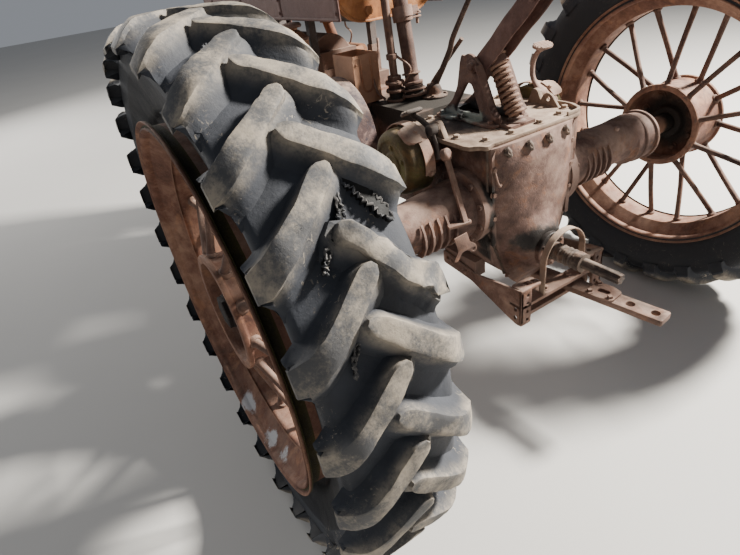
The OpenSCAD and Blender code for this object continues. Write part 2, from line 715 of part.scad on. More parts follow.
module steering_post() color(iron) difference() {
  union() {
    from_axle() {
      translate(post_foot) cylinder(r = 40, h = 16);
      translate(post_foot) cylinder(r = 35, h = 52);
      bar(post_foot + [0, 0, 10], post_top, 27);
      translate([0, -524, 1238]) rotate([8, 0, 0]) cylinder(r = 38, h = 36);
      translate([-66, -534, 1244]) rotate([8, 0, 0]) cube([60, 18, 24]);
      for (z = [0, 34, 62]) translate([62, -526, tunnel_top_z + z]) cylinder(r = 34, h = 12);
      translate([62, -526, tunnel_top_z]) cylinder(r = 26, h = 92);
    }
    on_shaft(post_bearing_y) rotate([90, 0, 0]) cylinder(r = 34, h = 80, center = true);
  }
  on_shaft(post_bearing_y) rotate([90, 0, 0]) cylinder(r = shaft_r + bearing_gap, h = 200, center = true);
}

module throttle_tube() from_axle() color(rust) {
  bar([62, -526, tunnel_top_z + 93], [62, -550, 1500], 15);
  bar([62, -550, 1492], [122, -512, 1512], 6);
}

module tool_box() from_axle([96, -724, box_z]) color(rust) difference() {
  cube([112, 150, 176]);
  translate([4, 4, 6]) cube([104, 142, 200]);
}

// Clutch housing, engine and what stands on it

clutch_front_y = -1080;
bell_r = 190;
engine_front_y = -1745;
engine_half_w = 145;
rail_low_z = 728;

module clutch_housing() from_axle() color(iron) {
  bell_y = tunnel_front_y - 180;
  plate_y(tunnel_front_y, 22) case_outline(170, tunnel_top_z + 8, 500);
  plate_y(tunnel_front_y - 21, 160) case_outline(132, tunnel_top_z - 25, 520);
  plate_y(bell_y, bell_y - clutch_front_y) case_outline(bell_r, tunnel_top_z + 30, 505);
  for (s = [-1, 1]) translate([s * 150 - 20, mount_y - 4, mount_z - 200]) cube([40, 40, 200]);
}

module engine_block() from_axle() color(iron) {
  front = engine_front_y;
  back = clutch_front_y;
  translate([-engine_half_w, front, 700]) cube([2 * engine_half_w, back - front, 320]);
  plate_y(back - 30, back - front - 90) case_outline(125, 702, 560);
  translate([-engine_half_w - 22, front + 60, 760]) cube([24, back - front - 120, 110]);
  translate([engine_half_w - 2, front + 90, 800]) cube([30, 150, 90]);
  translate([engine_half_w + 44, front + 330, 908]) rotate([90, 0, 0]) cylinder(r = 52, h = 170);
  translate([engine_half_w - 5, front + 200, 870]) cube([20, 100, 70]);
  translate([0, front, 760]) rotate([90, 0, 0]) cylinder(r = 80, h = 50);
}

module cylinder_head() from_axle() color(iron) {
  front = engine_front_y + 10;
  long = clutch_front_y - engine_front_y - 20;
  translate([-head_half_w, front, 1020]) cube([2 * head_half_w, long, 74]);
  translate([0, front + long / 2, 1094]) rotate([90, 0, 0]) intersection() {
    translate([0, -30, 0]) cylinder(r = 100, h = long - 60, center = true);
    translate([-100, 0, -long]) cube([200, 80, 2 * long]);
  }
}

head_half_w = 118;
port_z = 1056;
port_ys = [-1660, -1490, -1330, -1165];
log_x = -190;
stack = [-150, -1412];
stack_low_z = 1226;

module manifold() from_axle() color(rust) {
  for (y = port_ys) bar([-head_half_w - seat_gap, y, port_z], [log_x, y, port_z], 22);
  bar([log_x, port_ys[0] - 5, port_z], [log_x, port_ys[3] + 5, port_z], 30);
  bar([log_x, stack.y, port_z + 4], [stack.x, stack.y, stack_low_z - 26], 25);
  translate([stack.x, stack.y, stack_low_z - 40]) cylinder(r = 34, h = 40);
}

module exhaust_stack() from_axle() color(rust) {
  translate([stack.x, stack.y, stack_low_z + seat_gap]) cylinder(r = 27, h = 560);
  translate([stack.x, stack.y, stack_low_z + 354]) cylinder(r = 48, h = 170);
}

module air_cleaner() from_axle() color(rust) {
  translate([238, -990, 1000]) cylinder(r = 62, h = 190);
  translate([238, -990, 1190]) cylinder(r1 = 62, r2 = 30, h = 30);
  translate([238, -990, 1220]) cylinder(r = 24, h = 14);
  translate([170 + seat_gap, -1005, 1040]) cube([30, 30, 50]);
}

// Radiator, grille, fan, hood and tank

shell_rear_y = hood_front_y - 2;
shell_depth = 125;
shell_low_z = 1000;
radiator_rear_y = shell_rear_y - 6;
radiator_t = 96;
shell_t = 6;

// The arched outline of the hood, as far in as inset says and down to low.
module hood_outline(inset, low) {
  half = hood_half_w - inset;
  crown = 330;
  intersection() {
    translate([-half, low]) square([2 * half, hood_top_z - low - inset]);
    union() {
      translate([0, hood_top_z - crown]) circle(r = crown - inset);
      translate([-half, low]) square([2 * half, hood_top_z - crown + 180 - low]);
    }
  }
}

module radiator() from_axle() color(oily) {
  half = hood_half_w - shell_t - seat_gap;
  plate_y(radiator_rear_y, radiator_t) hood_outline(shell_t + 30, 1040);
  plate_y(radiator_rear_y, radiator_t) translate([-half, bolster_top_z]) square([2 * half, 60]);
  plate_y(radiator_rear_y, radiator_t) hood_outline(shell_t + seat_gap, 1440);
}

module grille() from_axle() color(hood_red) difference() {
  plate_y(shell_rear_y, shell_depth) hood_outline(0, shell_low_z);
  plate_y(shell_rear_y + 1, shell_depth - 15) hood_outline(shell_t, shell_low_z - 1);
  for (i = [-5:5]) translate([i * 33 - 13, shell_rear_y - shell_depth - 10, 1060]) cube([26, 40, 350]);
}

module cooling_fan() from_axle([0, engine_front_y - seat_gap, 1200]) color(oily) {
  rotate([90, 0, 0]) cylinder(r = 34, h = 78);
  for (i = [0:3]) rotate([0, i * 90 + 20, 0]) translate([0, -56, 0])
    rotate([0, 0, 24]) translate([-32, -3, 20]) cube([64, 6, 175]);
  translate([-20, -30, -220]) cube([40, 30, 220]);
}

module hood() from_axle() color(hood_red) difference() {
  plate_y(hood_rear_y, hood_rear_y - hood_front_y) hood_outline(0, hood_low_z);
  plate_y(hood_rear_y + 1, hood_rear_y - hood_front_y + 2) hood_outline(sheet_t, hood_low_z - 1);
  translate([stack.x, stack.y, hood_low_z]) cylinder(r = 33, h = 400);
  translate([-32, hood_rear_y - 23, 1400]) cube([64, 60, 200]);
}

tank_front_y = -1080;
tank_rear_y = -608;
tank_low_z = 1236;
mount_z = 1100;
mount_y = -1006;

module fuel_tank() from_axle() color(oily) {
  plate_y(tank_rear_y, tank_rear_y - tank_front_y) hood_outline(sheet_t + seat_gap, tank_low_z);
  for (s = [-1, 1]) translate([s * 150 - 16, mount_y, mount_z]) cube([32, 32, tank_low_z - mount_z + 1]);
}

// Front end

bolster_top_z = 982;
pivot_r = 32;
steer_low_z = 724;

module front_bolster() from_axle([0, -wheelbase, 0]) color(iron) difference() {
  union() {
    translate([0, 0, steer_low_z]) cylinder(r = 92, h = bolster_top_z - steer_low_z);
    translate([-bolster_half_w, 0, rail_low_z]) cube([2 * bolster_half_w, 240, bolster_top_z - rail_low_z]);
    translate([-92, 0, steer_low_z]) cube([184, 200, 60]);
  }
  translate([0, 0, steer_low_z - 1]) cylinder(r = pivot_r + bearing_gap, h = 180);
}

bolster_half_w = 190;
rail_x = bolster_half_w + seat_gap;
rail_front_y = 20 - wheelbase;
rail_rear_y = -940;
rail_h = 104;
rail_w = 34;
rail_t = 7;

module frame_rails() from_axle() color(rust) for (s = [0, 1]) mirror([s, 0, 0]) difference() {
  long = rail_rear_y - rail_front_y;
  translate([rail_x, rail_front_y, rail_low_z]) cube([rail_w, long, rail_h]);
  translate([rail_x + rail_t, rail_front_y - 1, rail_low_z + rail_t])
    cube([rail_w, long + 2, rail_h - 2 * rail_t]);
}

module steering_gear() color(iron) difference() {
  union() {
    from_axle([0, -wheelbase, 0]) {
      translate([0, 0, bolster_top_z + seat_gap]) cylinder(r = 34, h = shaft_low_z - bolster_top_z - 30);
      translate([0, 0, shaft_low_z - 46]) cylinder(r = 62, h = 92);
    }
    on_shaft(60) rotate([90, 0, 0]) cylinder(r = 30, h = 60, center = true);
  }
  on_shaft(70) rotate([90, 0, 0]) cylinder(r = shaft_r + bearing_gap, h = 80, center = true);
}

module steering_wheel() on_shaft(0) color(rust) {
  long = wheelbase - 130;
  translate([0, long, 0]) rotate([90, 0, 0]) {
    cylinder(r = shaft_r, h = long - 36);
    cylinder(r = 30, h = 34);
    translate([0, 0, 17]) rotate_extrude() translate([steering_wheel_r - 12, 0]) circle(r = 12);
    for (i = [0:3]) rotate([0, 0, 45 + i * 90]) translate([20, -9, 12])
      cube([steering_wheel_r - 32, 18, 9]);
  }
}

// The steered post carries both front wheels on leaning spindles.
module front_post() from_axle([0, -wheelbase, 0]) color(iron) {
  translate([0, 0, steer_low_z - 60]) cylinder(r = pivot_r, h = 230);
  translate([0, 0, front_hub_z]) cylinder(r = 44, h = steer_low_z - 6 - front_hub_z);
  translate([0, 0, steer_low_z - 30]) cylinder(r = 66, h = 24);
  translate([0, 0, front_hub_z]) sphere(r = 52);
  for (s = [0, 1]) mirror([s, 0, 0]) translate([front_tread / 2, 0, front_hub_z])
    rotate([0, front_camber, 0]) translate([-front_tread / 2, 0, 0]) rotate([0, 90, 0]) {
      cylinder(r = spindle_r, h = front_tread / 2 + 36);
      cylinder(r = 34, h = front_tread / 2 - 46);
    }
}

transmission_case();
rear_cover();
top_cover();
axle_housing_left();
axle_housing_right();
brake_drums();
brake_guards();
belt_pulley();
pto_shaft();
pto_guard();
drawbar();
drawbar_frame();
seat_bracket();
seat_spring();
seat_bar();
seat_pan();
pedal_left();
pedal_right();
levers();
steering_post();
throttle_tube();
tool_box();
clutch_housing();
frame_rails();
engine_block();
cylinder_head();
manifold();
exhaust_stack();
air_cleaner();
radiator();
grille();
cooling_fan();
hood();
fuel_tank();
front_bolster();
steering_gear();
front_post();
front_rim_left();
front_tyre_left();
front_rim_right();
front_tyre_right();
rear_rim_left();
rear_tyre_left();
rear_rim_right();
rear_tyre_right();
steering_wheel();
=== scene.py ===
"""Looks for an old row-crop tractor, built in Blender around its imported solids.

Positions are in metres in the row frame: the tractor faces -Y, +X is its left side, +Z is up.
Most places are given from the rear axle, with Y counted from the axle and Z from the ground.
"""

import logging
import random
from collections.abc import Iterable, Sequence
from dataclasses import dataclass
from enum import Enum
from math import asin, copysign, cos, degrees, exp, hypot, pi, radians, sin, sqrt, tanh

import bmesh
import bpy
from mathutils import Matrix, Vector, noise


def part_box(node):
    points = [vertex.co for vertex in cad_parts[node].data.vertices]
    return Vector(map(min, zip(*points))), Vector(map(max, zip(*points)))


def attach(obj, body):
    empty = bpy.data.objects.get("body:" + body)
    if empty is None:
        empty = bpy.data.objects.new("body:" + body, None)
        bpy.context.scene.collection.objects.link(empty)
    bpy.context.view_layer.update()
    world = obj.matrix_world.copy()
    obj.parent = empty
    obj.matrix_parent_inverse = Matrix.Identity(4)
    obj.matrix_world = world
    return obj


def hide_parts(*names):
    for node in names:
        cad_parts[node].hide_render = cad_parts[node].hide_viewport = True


LOG = logging.getLogger("tractor")
Point = tuple[float, float, float]
Pair = tuple[float, float]
Colour = tuple[float, float, float]

LEFT, AFT, UP = (1, 0, 0), (0, 1, 0), (0, 0, 1)
MERGE = 2e-5  # points nearer than this are one point
SLIVER = 1e-12  # faces smaller than this are dropped
ON_AXIS = 1e-5  # the least radius of a turned point
BEVEL_FROM = 38.0  # edges sharper than this many degrees are eased

WHEELBASE = 2.22
STACK = (-0.15, -1.412)  # the exhaust stack, from the rear axle
CLEANER = (0.238, -0.99)  # the air cleaner, from the rear axle

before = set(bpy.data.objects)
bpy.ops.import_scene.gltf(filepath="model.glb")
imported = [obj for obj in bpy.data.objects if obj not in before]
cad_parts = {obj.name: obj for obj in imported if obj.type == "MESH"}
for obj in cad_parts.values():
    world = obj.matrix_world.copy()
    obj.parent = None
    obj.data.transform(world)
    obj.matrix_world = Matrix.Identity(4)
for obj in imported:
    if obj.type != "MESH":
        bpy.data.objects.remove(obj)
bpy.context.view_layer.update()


class Body(Enum):
    """The rigid bodies that pieces ride on."""

    CHASSIS = "chassis"
    REAR_LEFT = "rear_wheel_left"
    REAR_RIGHT = "rear_wheel_right"
    FRONT_LEFT = "front_wheel_left"
    FRONT_RIGHT = "front_wheel_right"


class Slot(Enum):
    """The material slots of the record."""

    CASTING = "rusty_casting"
    STEEL = "rusty_steel"
    RIM = "rusty_rim"
    OILY = "oily_iron"
    RED = "faded_red"
    OLIVE = "olive_drum"
    TYRE = "old_tyre"


def mid(node: str) -> Vector:
    """The centre of a CAD node's box."""
    low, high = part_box(node)
    return (low + high) / 2


AXLE = mid("rear_rim_left")
AXLE_Y, AXLE_Z = AXLE.y, AXLE.z


def at(x: float, y: float, z: float) -> Vector:
    """A point given from the rear axle, in the row frame."""
    return Vector((x, y + AXLE_Y, z))


# Geometry


def unit(v: Vector) -> Vector:
    """The vector at length one."""
    return v.normalized()


def side_axes(axis: Vector) -> tuple[Vector, Vector]:
    """Two directions square to an axis and to each other."""
    a = unit(axis)
    ref = Vector(UP) if abs(a.z) < 0.9 else Vector(AFT)
    u = unit(ref.cross(a))
    return u, a.cross(u)


def rounded(corners: Sequence[Pair], radius: float, steps: int = 4, closed: bool = False) -> list[Pair]:
    """Rounds the corners of a line of points.

    Args:
        corners: The points, two numbers each.
        radius: How far from a corner its round starts.
        steps: Segments in each round.
        closed: Whether the last point joins the first.

    Returns:
        The points of the rounded line.
    """
    out: list[Pair] = []
    count = len(corners)
    for i, corner in enumerate(corners):
        if not closed and i in (0, count - 1):
            out.append(corner)
            continue
        p, a, b = Vector(corner), Vector(corners[i - 1]), Vector(corners[(i + 1) % count])
        reach = min(radius, (a - p).length * 0.48, (b - p).length * 0.48)
        start, end = p + (a - p).normalized() * reach, p + (b - p).normalized() * reach
        for k in range(steps + 1):
            t = k / steps
            q = start * (1 - t) ** 2 + p * 2 * t * (1 - t) + end * t**2
            out.append((q.x, q.y))
    return out


def collar(inner: float, outer: float, low: float, high: float, ease: float = 0.002) -> list[Pair]:
    """The closed profile of a ring of square section.

    Args:
        inner: Its inner radius.
        outer: Its outer radius.
        low: Where it starts along the axis.
        high: Where it ends.
        ease: How far its corners are eased.

    Returns:
        Pairs of radius and distance along the axis.
    """
    return rounded([(inner, low), (outer, low), (outer, high), (inner, high)], ease, 2, closed=True)


def disc(radius: float, high: float, ease: float = 0.002) -> list[Pair]:
    """The profile of a flat disc.

    Args:
        radius: Its radius.
        high: Its thickness.
        ease: How far its edge is eased.

    Returns:
        Pairs of radius and distance along the axis.
    """
    return rounded([(0.0, 0.0), (radius, 0.0), (radius, high), (0.0, high)], ease, 2)


def ring_of(centre: Vector, radius: float, count: int, start: float = 0.0, plane: str = "xy") -> list[Vector]:
    """Places that lie evenly around a centre.

    Args:
        centre: The middle of the circle.
        radius: Its radius.
        count: How many places there are.
        start: The angle of the first one, in degrees.
        plane: The two axes of the circle's plane; the angle goes from the first to the second.

    Returns:
        The places.
    """
    a, b = ("xyz".index(letter) for letter in plane)
    places = []
    for k in range(count):
        t = radians(start + 360 * k / count)
        place = centre.copy()
        place[a] += radius * cos(t)
        place[b] += radius * sin(t)
        places.append(place)
    return places


def smooth_path(points: Sequence[Sequence[float]], steps: int = 6) -> list[Vector]:
    """A smooth line through points, as many steps between each two."""
    pts = [Vector(p) for p in points]
    out: list[Vector] = []
    for i in range(len(pts) - 1):
        a, b = pts[i], pts[i + 1]
        before = pts[i - 1] if i else a * 2 - b
        after = pts[i + 2] if i + 2 < len(pts) else b * 2 - a
        for k in range(steps):
            t = k / steps
            out.append(
                0.5
                * (2 * a + (b - before) * t + (2 * before - 5 * a + 4 * b - after) * t**2
                   + (3 * a - before - 3 * b + after) * t**3)
            )
    out.append(pts[-1])
    return out


def way(points: Sequence[Point], steps: int = 5) -> list[Vector]:
    """A smooth line through points that are given from the rear axle."""
    return smooth_path([at(*p) for p in points], steps)


class Skin:
    """Collects points and faces of one piece, with a mark per point that its finish reads."""

    def __init__(self) -> None:
        """Starts empty."""
        self.points: list[Vector] = []
        self.faces: list[tuple[int, ...]] = []
        self.marks: list[float] = []

    def add(self, points: Iterable[Sequence[float]], faces: Iterable[Sequence[int]], mark: float = 0.0) -> None:
        """Adds a closed form.

        Args:
            points: Its points.
            faces: Its faces, as indices into its own points.
            mark: The mark of all its points.
        """
        base = len(self.points)
        fresh = [Vector(p) for p in points]
        self.points += fresh
        self.faces += [tuple(base + i for i in f) for f in faces]
        self.marks += [mark] * len(fresh)

    def rings(self, rings: Sequence[Sequence[Vector]], around: bool = True, caps: bool = True,
              mark: float = 0.0, loop: bool = False) -> None:
        """Joins rings of points by quads.

        Args:
            rings: The rings, all of one length.
            around: Whether each ring closes on itself.
            caps: Whether the first and the last ring are filled.
            mark: The mark of all its points.
            loop: Whether the last ring joins the first.
        """
        n, count = len(rings[0]), len(rings)
        points = [p for ring in rings for p in ring]
        faces: list[tuple[int, ...]] = []
        for i in range(count if loop else count - 1):
            j = (i + 1) % count
            for k in range(n if around else n - 1):
                m = (k + 1) % n
                faces.append((i * n + k, i * n + m, j * n + m, j * n + k))
        if caps and not loop:
            faces.append(tuple(range(n - 1, -1, -1)))
            faces.append(tuple((count - 1) * n + k for k in range(n)))
        self.add(points, faces, mark)

    def turned(self, profile: Sequence[Pair], centre: Vector, axis: Sequence[float], steps: int = 48,
               closed: bool = False, start: float = 0.0) -> None:
        """Turns a profile once about an axis.

        Args:
            profile: Pairs of radius and distance along the axis.
            centre: A point on the axis.
            axis: The direction of the axis.
            steps: Segments around.
            closed: Whether the profile closes on itself, as that of a ring does.
            start: Where the turn starts, in degrees.
        """
        a = unit(Vector(axis))
        u, v = side_axes(a)
        rings = []
        for k in range(steps):
            t = radians(start + 360.0 * k / steps)
            out = u * cos(t) + v * sin(t)
            rings.append([centre + out * max(r, ON_AXIS) + a * d for r, d in profile])
        self.rings(rings, around=closed, caps=False, loop=True)

    def tube(self, path: Sequence[Sequence[float]], radius: float | Sequence[float], sides: int = 14,
             mark: float = 0.0, flat: float = 1.0, hint: Sequence[float] | None = None) -> None:
        """Sweeps a round or flattened section along a path.

        Args:
            path: Its points.
            radius: Its radius, or one for each point.
            sides: Points around.
            mark: The mark of all its points.
            flat: Its thickness as a share of its width.
            hint: The direction of its width at the start.
        """
        pts = [Vector(p) for p in path]
        radii = [radius] * len(pts) if isinstance(radius, (int, float)) else list(radius)
        tangent = unit(pts[1] - pts[0])
        u = side_axes(tangent)[0] if hint is None else unit(Vector(hint) - tangent * Vector(hint).dot(tangent))
        rings = []
        for i, p in enumerate(pts):
            ahead = pts[min(i + 1, len(pts) - 1)] - pts[max(i - 1, 0)]
            tangent = unit(ahead)
            u = unit(u - tangent * u.dot(tangent))
            v = tangent.cross(u)
            rings.append([p + (u * cos(t) + v * sin(t) * flat) * radii[i]
                          for t in (2 * pi * k / sides for k in range(sides))])
        self.rings(rings, mark=mark)

    def prism(self, outline: Sequence[Pair], origin: Vector, across: Sequence[float], up: Sequence[float],
              depth: float) -> None:
        """Pushes an outline into a plate.

        Args:
            outline: Pairs along across and up.
            origin: The place of the outline's zero.
            across: The direction of the first number.
            up: The direction of the second number.
            depth: Thickness along across x up.
        """
        a, b = Vector(across), Vector(up)
        n = a.cross(b)
        low = [origin + a * x + b * y for x, y in outline]
        self.rings([low, [p + n * depth for p in low]])

    def block(self, low: Sequence[float], high: Sequence[float]) -> None:
        """A box between two corners, in the row frame."""
        (x0, y0, z0), (x1, y1, z1) = low, high
        corners = [(x0, y0), (x1, y0), (x1, y1), (x0, y1)]
        self.prism(corners, Vector((0, 0, z0)), LEFT, AFT, z1 - z0)

    def plate(self, outline: Sequence[Pair], origin: Vector, across: Sequence[float], up: Sequence[float],
              depth: float, holes: Sequence[Sequence[Pair]] = (), edge: float = 0.0012) -> None:
        """A plate with holes and eased edges.

        Args:
            outline: Pairs along across and up.
            origin: The place of the outline's zero.
            across: The direction of the first number.
            up: The direction of the second number.
            depth: Thickness along across x up.
            holes: Outlines cut through it.
            edge: How far its edges are eased.
        """
        curve = bpy.data.curves.new("plate", "CURVE")
        curve.dimensions, curve.fill_mode = "2D", "BOTH"
        curve.extrude, curve.bevel_depth, curve.bevel_resolution = depth / 2 - edge, edge, 1
        curve.offset = -edge
        for line in (outline, *holes):
            spline = curve.splines.new("POLY")
            spline.points.add(len(line) - 1)
            for p, (x, y) in zip(spline.points, line):
                p.co = (x, y, 0, 1)
            spline.use_cyclic_u = True
        holder = bpy.data.objects.new("plate", curve)
        bpy.context.scene.collection.objects.link(holder)
        mesh = bpy.data.meshes.new_from_object(holder.evaluated_get(bpy.context.evaluated_depsgraph_get()))
        a, b = Vector(across), Vector(up)
        n = a.cross(b)
        points = [origin + a * v.co.x + b * v.co.y + n * (v.co.z + depth / 2) for v in mesh.vertices]
        self.add(points, [tuple(f.vertices) for f in mesh.polygons])
        bpy.data.objects.remove(holder)
        bpy.data.curves.remove(curve)
        bpy.data.meshes.remove(mesh)

    def bolt(self, place: Vector, axis: Sequence[float], r: float, h: float, washer: float = 1.5,
             square: bool = False) -> None:
        """A bolt head on a washer.

        Args:
            place: Where it sits.
            axis: Which way it stands out.
            r: Half its width over the corners.
            h: Height of the head.
            washer: The washer's radius as a share of r.
            square: Whether the head has four sides.
        """
        a = unit(Vector(axis))
        self.turned([(0, 0), (r * washer, 0), (r * washer, h * 0.22), (0, h * 0.24)], place, a, 20)
        sides = 4 if square else 6
        top = h * 1.2
        self.turned([(0, h * 0.2), (r, h * 0.2), (r, top * 0.85), (r * 0.86, top), (0, top)], place, a, sides,
                    start=17)

    def build(self, name: str, finish: bpy.types.Material, slot: Slot, body: Body = Body.CHASSIS,
              bevel: float = 0.0, crease: float = 34.0, replaces: Sequence[str] = ()) -> bpy.types.Object:
        """Makes the piece and hangs it on its body.

        Args:
            name: The name of the piece.
            finish: Its material.
            slot: Not used.
            body: The body that it rides on.
            bevel: Width of the eased edges.
            crease: Edges sharper than this many degrees stay sharp in the shading.
            replaces: CAD nodes that it stands for.

        Returns:
            The new object.
        """
        mesh = bpy.data.meshes.new(name)
        mesh.from_pydata(self.points, [], self.faces)
        mark = mesh.attributes.new("mark", "FLOAT", "POINT")
        mark.data.foreach_set("value", self.marks)
        mesh.validate()
        clean(mesh)
        mesh.materials.append(finish)
        piece = bpy.data.objects.new(name, mesh)
        bpy.context.scene.collection.objects.link(piece)
        if bevel > 0:
            edge = piece.modifiers.new("Edges", "BEVEL")
            edge.width, edge.segments, edge.limit_method = bevel, 2, "ANGLE"
            edge.angle_limit = radians(BEVEL_FROM)
            edge.harden_normals = False
        mesh.shade_smooth()
        mesh.set_sharp_from_angle(angle=radians(crease))
        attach(piece, body.value)
        if replaces:
            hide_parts(*replaces)
        LOG.info("%s: %d points on %s", name, len(mesh.vertices), body.value)
        return piece


def clean(mesh: bpy.types.Mesh) -> None:
    """Joins the doubled points of a mesh, drops its slivers and turns its faces outward."""
    work = bmesh.new()
    work.from_mesh(mesh)
    bmesh.ops.remove_doubles(work, verts=work.verts, dist=MERGE)
    bmesh.ops.delete(work, geom=[f for f in work.faces if f.calc_area() < SLIVER], context="FACES")
    bmesh.ops.recalc_face_normals(work, faces=work.faces)
    work.to_mesh(mesh)
    work.free()


def circle(cx: float, cy: float, r: float, steps: int = 20) -> list[Pair]:
    """A round outline."""
    return [(cx + r * cos(2 * pi * k / steps), cy + r * sin(2 * pi * k / steps))
            for k in range(steps)]


# Finishes


class Shade:
    """A material's node tree, put together step by step."""

    def __init__(self, name: str) -> None:
        """Starts a material with one shader and its output."""
        self.material = bpy.data.materials.new(name)
        self.material.use_nodes = True
        self.tree = self.material.node_tree
        self.tree.nodes.clear()
        out = self.tree.nodes.new("ShaderNodeOutputMaterial")
        self.shader = self.tree.nodes.new("ShaderNodeBsdfPrincipled")
        self.tree.links.new(self.shader.outputs[0], out.inputs[0])
        self.place = self.tree.nodes.new("ShaderNodeTexCoord").outputs["Object"]
        self.facing = self.place.node.outputs["Normal"]

    def _feed(self, socket: bpy.types.NodeSocket, value: object) -> None:
        """Links or sets one input."""
        if isinstance(value, bpy.types.NodeSocket):
            self.tree.links.new(value, socket)
        elif isinstance(value, tuple) and len(value) == 3 and socket.type == "RGBA":
            socket.default_value = (*value, 1.0)
        else:
            socket.default_value = value

    def node(self, kind: str, values: dict[str | int, object] | None = None, out: str | int = 0,
             **settings: object) -> bpy.types.NodeSocket:
        """Adds a node.

        Args:
            kind: Its type, without the leading ShaderNode.
            values: What its inputs get.
            out: Which output is wanted.
            **settings: Its own settings.

        Returns:
            The output asked for.
        """
        made = self.tree.nodes.new("ShaderNode" + kind)
        for key, value in settings.items():
            setattr(made, key, value)
        for key, value in (values or {}).items():
            self._feed(made.inputs[key], value)
        return made.outputs[out]

    def noise(self, scale: float, detail: float = 6.0, rough: float = 0.6,
              vector: bpy.types.NodeSocket | None = None, twist: float = 0.0) -> bpy.types.NodeSocket:
        """Cloudy noise from 0 to 1.

        Args:
            scale: Its size, larger for finer clouds.
            detail: How many finer layers it has.
            rough: How strong they are.
            vector: Where it is read, or none for the place in the row frame.
            twist: How far it is bent by itself.

        Returns:
            The noise.
        """
        return self.node("TexNoise", {"Vector": vector or self.place, "Scale": scale, "Detail": detail,
                                      "Roughness": rough, "Distortion": twist})

    def cells(self, scale: float, feature: str = "F1", vector: bpy.types.NodeSocket | None = None
              ) -> bpy.types.NodeSocket:
        """Distances in a pattern of cells.

        Args:
            scale: Its size, larger for smaller cells.
            feature: Which distance is wanted.
            vector: Where it is read, or none for the place in the row frame.

        Returns:
            The distance.
        """
        values = {"Vector": vector or self.place, "Scale": scale}
        return self.node("TexVoronoi", values, "Distance", feature=feature)

    def sum(self, kind: str, a: object, b: object = 0.0, clamp: bool = False) -> bpy.types.NodeSocket:
        """Arithmetic on two values.

        Args:
            kind: The operation, by Blender's name.
            a: The first value.
            b: The second value.
            clamp: Whether the outcome is held between 0 and 1.

        Returns:
            The outcome.
        """
        return self.node("Math", {0: a, 1: b}, operation=kind, use_clamp=clamp)

    def step(self, value: bpy.types.NodeSocket, low: float, high: float, to_low: float = 0.0,
             to_high: float = 1.0) -> bpy.types.NodeSocket:
        """A smooth step between two values.

        Args:
            value: What is looked at.
            low: Where the step starts.
            high: Where it ends.
            to_low: What it gives at the start.
            to_high: What it gives at the end.

        Returns:
            The step.
        """
        return self.node("MapRange", {"Value": value, "From Min": low, "From Max": high, "To Min": to_low,
                                      "To Max": to_high}, interpolation_type="SMOOTHSTEP")

    def mix(self, share: object, a: object, b: object, blend: str = "MIX") -> bpy.types.NodeSocket:
        """A mix of two colours.

        Args:
            share: The share of the second one.
            a: The first colour.
            b: The second colour.
            blend: The way of blending, by Blender's name.

        Returns:
            The mixed colour.
        """
        made = self.tree.nodes.new("ShaderNodeMix")
        made.data_type, made.blend_type, made.clamp_factor = "RGBA", blend, True
        for socket, value in ((made.inputs[0], share), (made.inputs[6], a), (made.inputs[7], b)):
            self._feed(socket, value)
        return made.outputs[2]

    def ramp(self, value: bpy.types.NodeSocket, stops: Sequence[tuple[float, Colour]]) -> bpy.types.NodeSocket:
        """Colours along a value."""
        made = self.tree.nodes.new("ShaderNodeValToRGB")
        ramp = made.color_ramp
        while len(ramp.elements) < len(stops):
            ramp.elements.new(0.5)
        for element, (place, colour) in zip(ramp.elements, stops):
            element.position, element.color = place, (*colour, 1)
        self._feed(made.inputs[0], value)
        return made.outputs[0]

    def mark(self) -> bpy.types.NodeSocket:
        """The mark that the mesh carries."""
        return self.node("Attribute", out="Fac", attribute_name="mark", attribute_type="GEOMETRY")

    def axis(self, letter: str, vector: bpy.types.NodeSocket | None = None) -> bpy.types.NodeSocket:
        """One coordinate of a place or a direction."""
        return self.node("SeparateXYZ", {0: vector or self.place}, letter)

    def near(self, place: Vector, reach: Point, ragged: float = 0.5,
             scale: float = 14.0) -> bpy.types.NodeSocket:
        """One near a place and zero past its reach, with a ragged border.

        Args:
            place: The middle of the patch.
            reach: Its half sizes along X, Y and Z.
            ragged: How far the border wanders.
            scale: The size of the border's ripples, larger for finer ones.

        Returns:
            The share of the patch.
        """
        off = self.node("VectorMath", {0: self.place, 1: tuple(place)}, operation="SUBTRACT")
        off = self.node("VectorMath", {0: off, 1: reach}, operation="DIVIDE")
        far = self.node("VectorMath", {0: off}, "Value", operation="LENGTH")
        wander = self.sum("MULTIPLY", self.noise(scale, 8, 0.65), ragged * 2)
        return self.step(self.sum("ADD", far, self.sum("SUBTRACT", wander, ragged)), 0.55, 1.0, 1.0, 0.0)

    def bump(self, height: bpy.types.NodeSocket, depth: float, strength: float = 1.0,
             under: bpy.types.NodeSocket | None = None) -> bpy.types.NodeSocket:
        """Relief from a height.

        Args:
            height: The height, from 0 to 1.
            depth: What a height of 1 is, in metres.
            strength: The share of the relief that is used.
            under: Relief that this one lies on.

        Returns:
            The bent normal.
        """
        values: dict[str | int, object] = {"Height": height, "Distance": depth, "Strength": strength}
        if under is not None:
            values["Normal"] = under
        return self.node("Bump", values)

    def finish(self, colour: object, rough: object, normal: bpy.types.NodeSocket,
               shine: float) -> bpy.types.Material:
        """Joins everything to the shader.

        Args:
            colour: The base colour.
            rough: The roughness.
            normal: The normal.
            shine: The strength of the mirror part.

        Returns:
            The material.
        """
        self._feed(self.shader.inputs["Base Color"], colour)
        self._feed(self.shader.inputs["Roughness"], rough)
        self._feed(self.shader.inputs["Normal"], normal)
        self.shader.inputs["Specular IOR Level"].default_value = shine
        return self.material


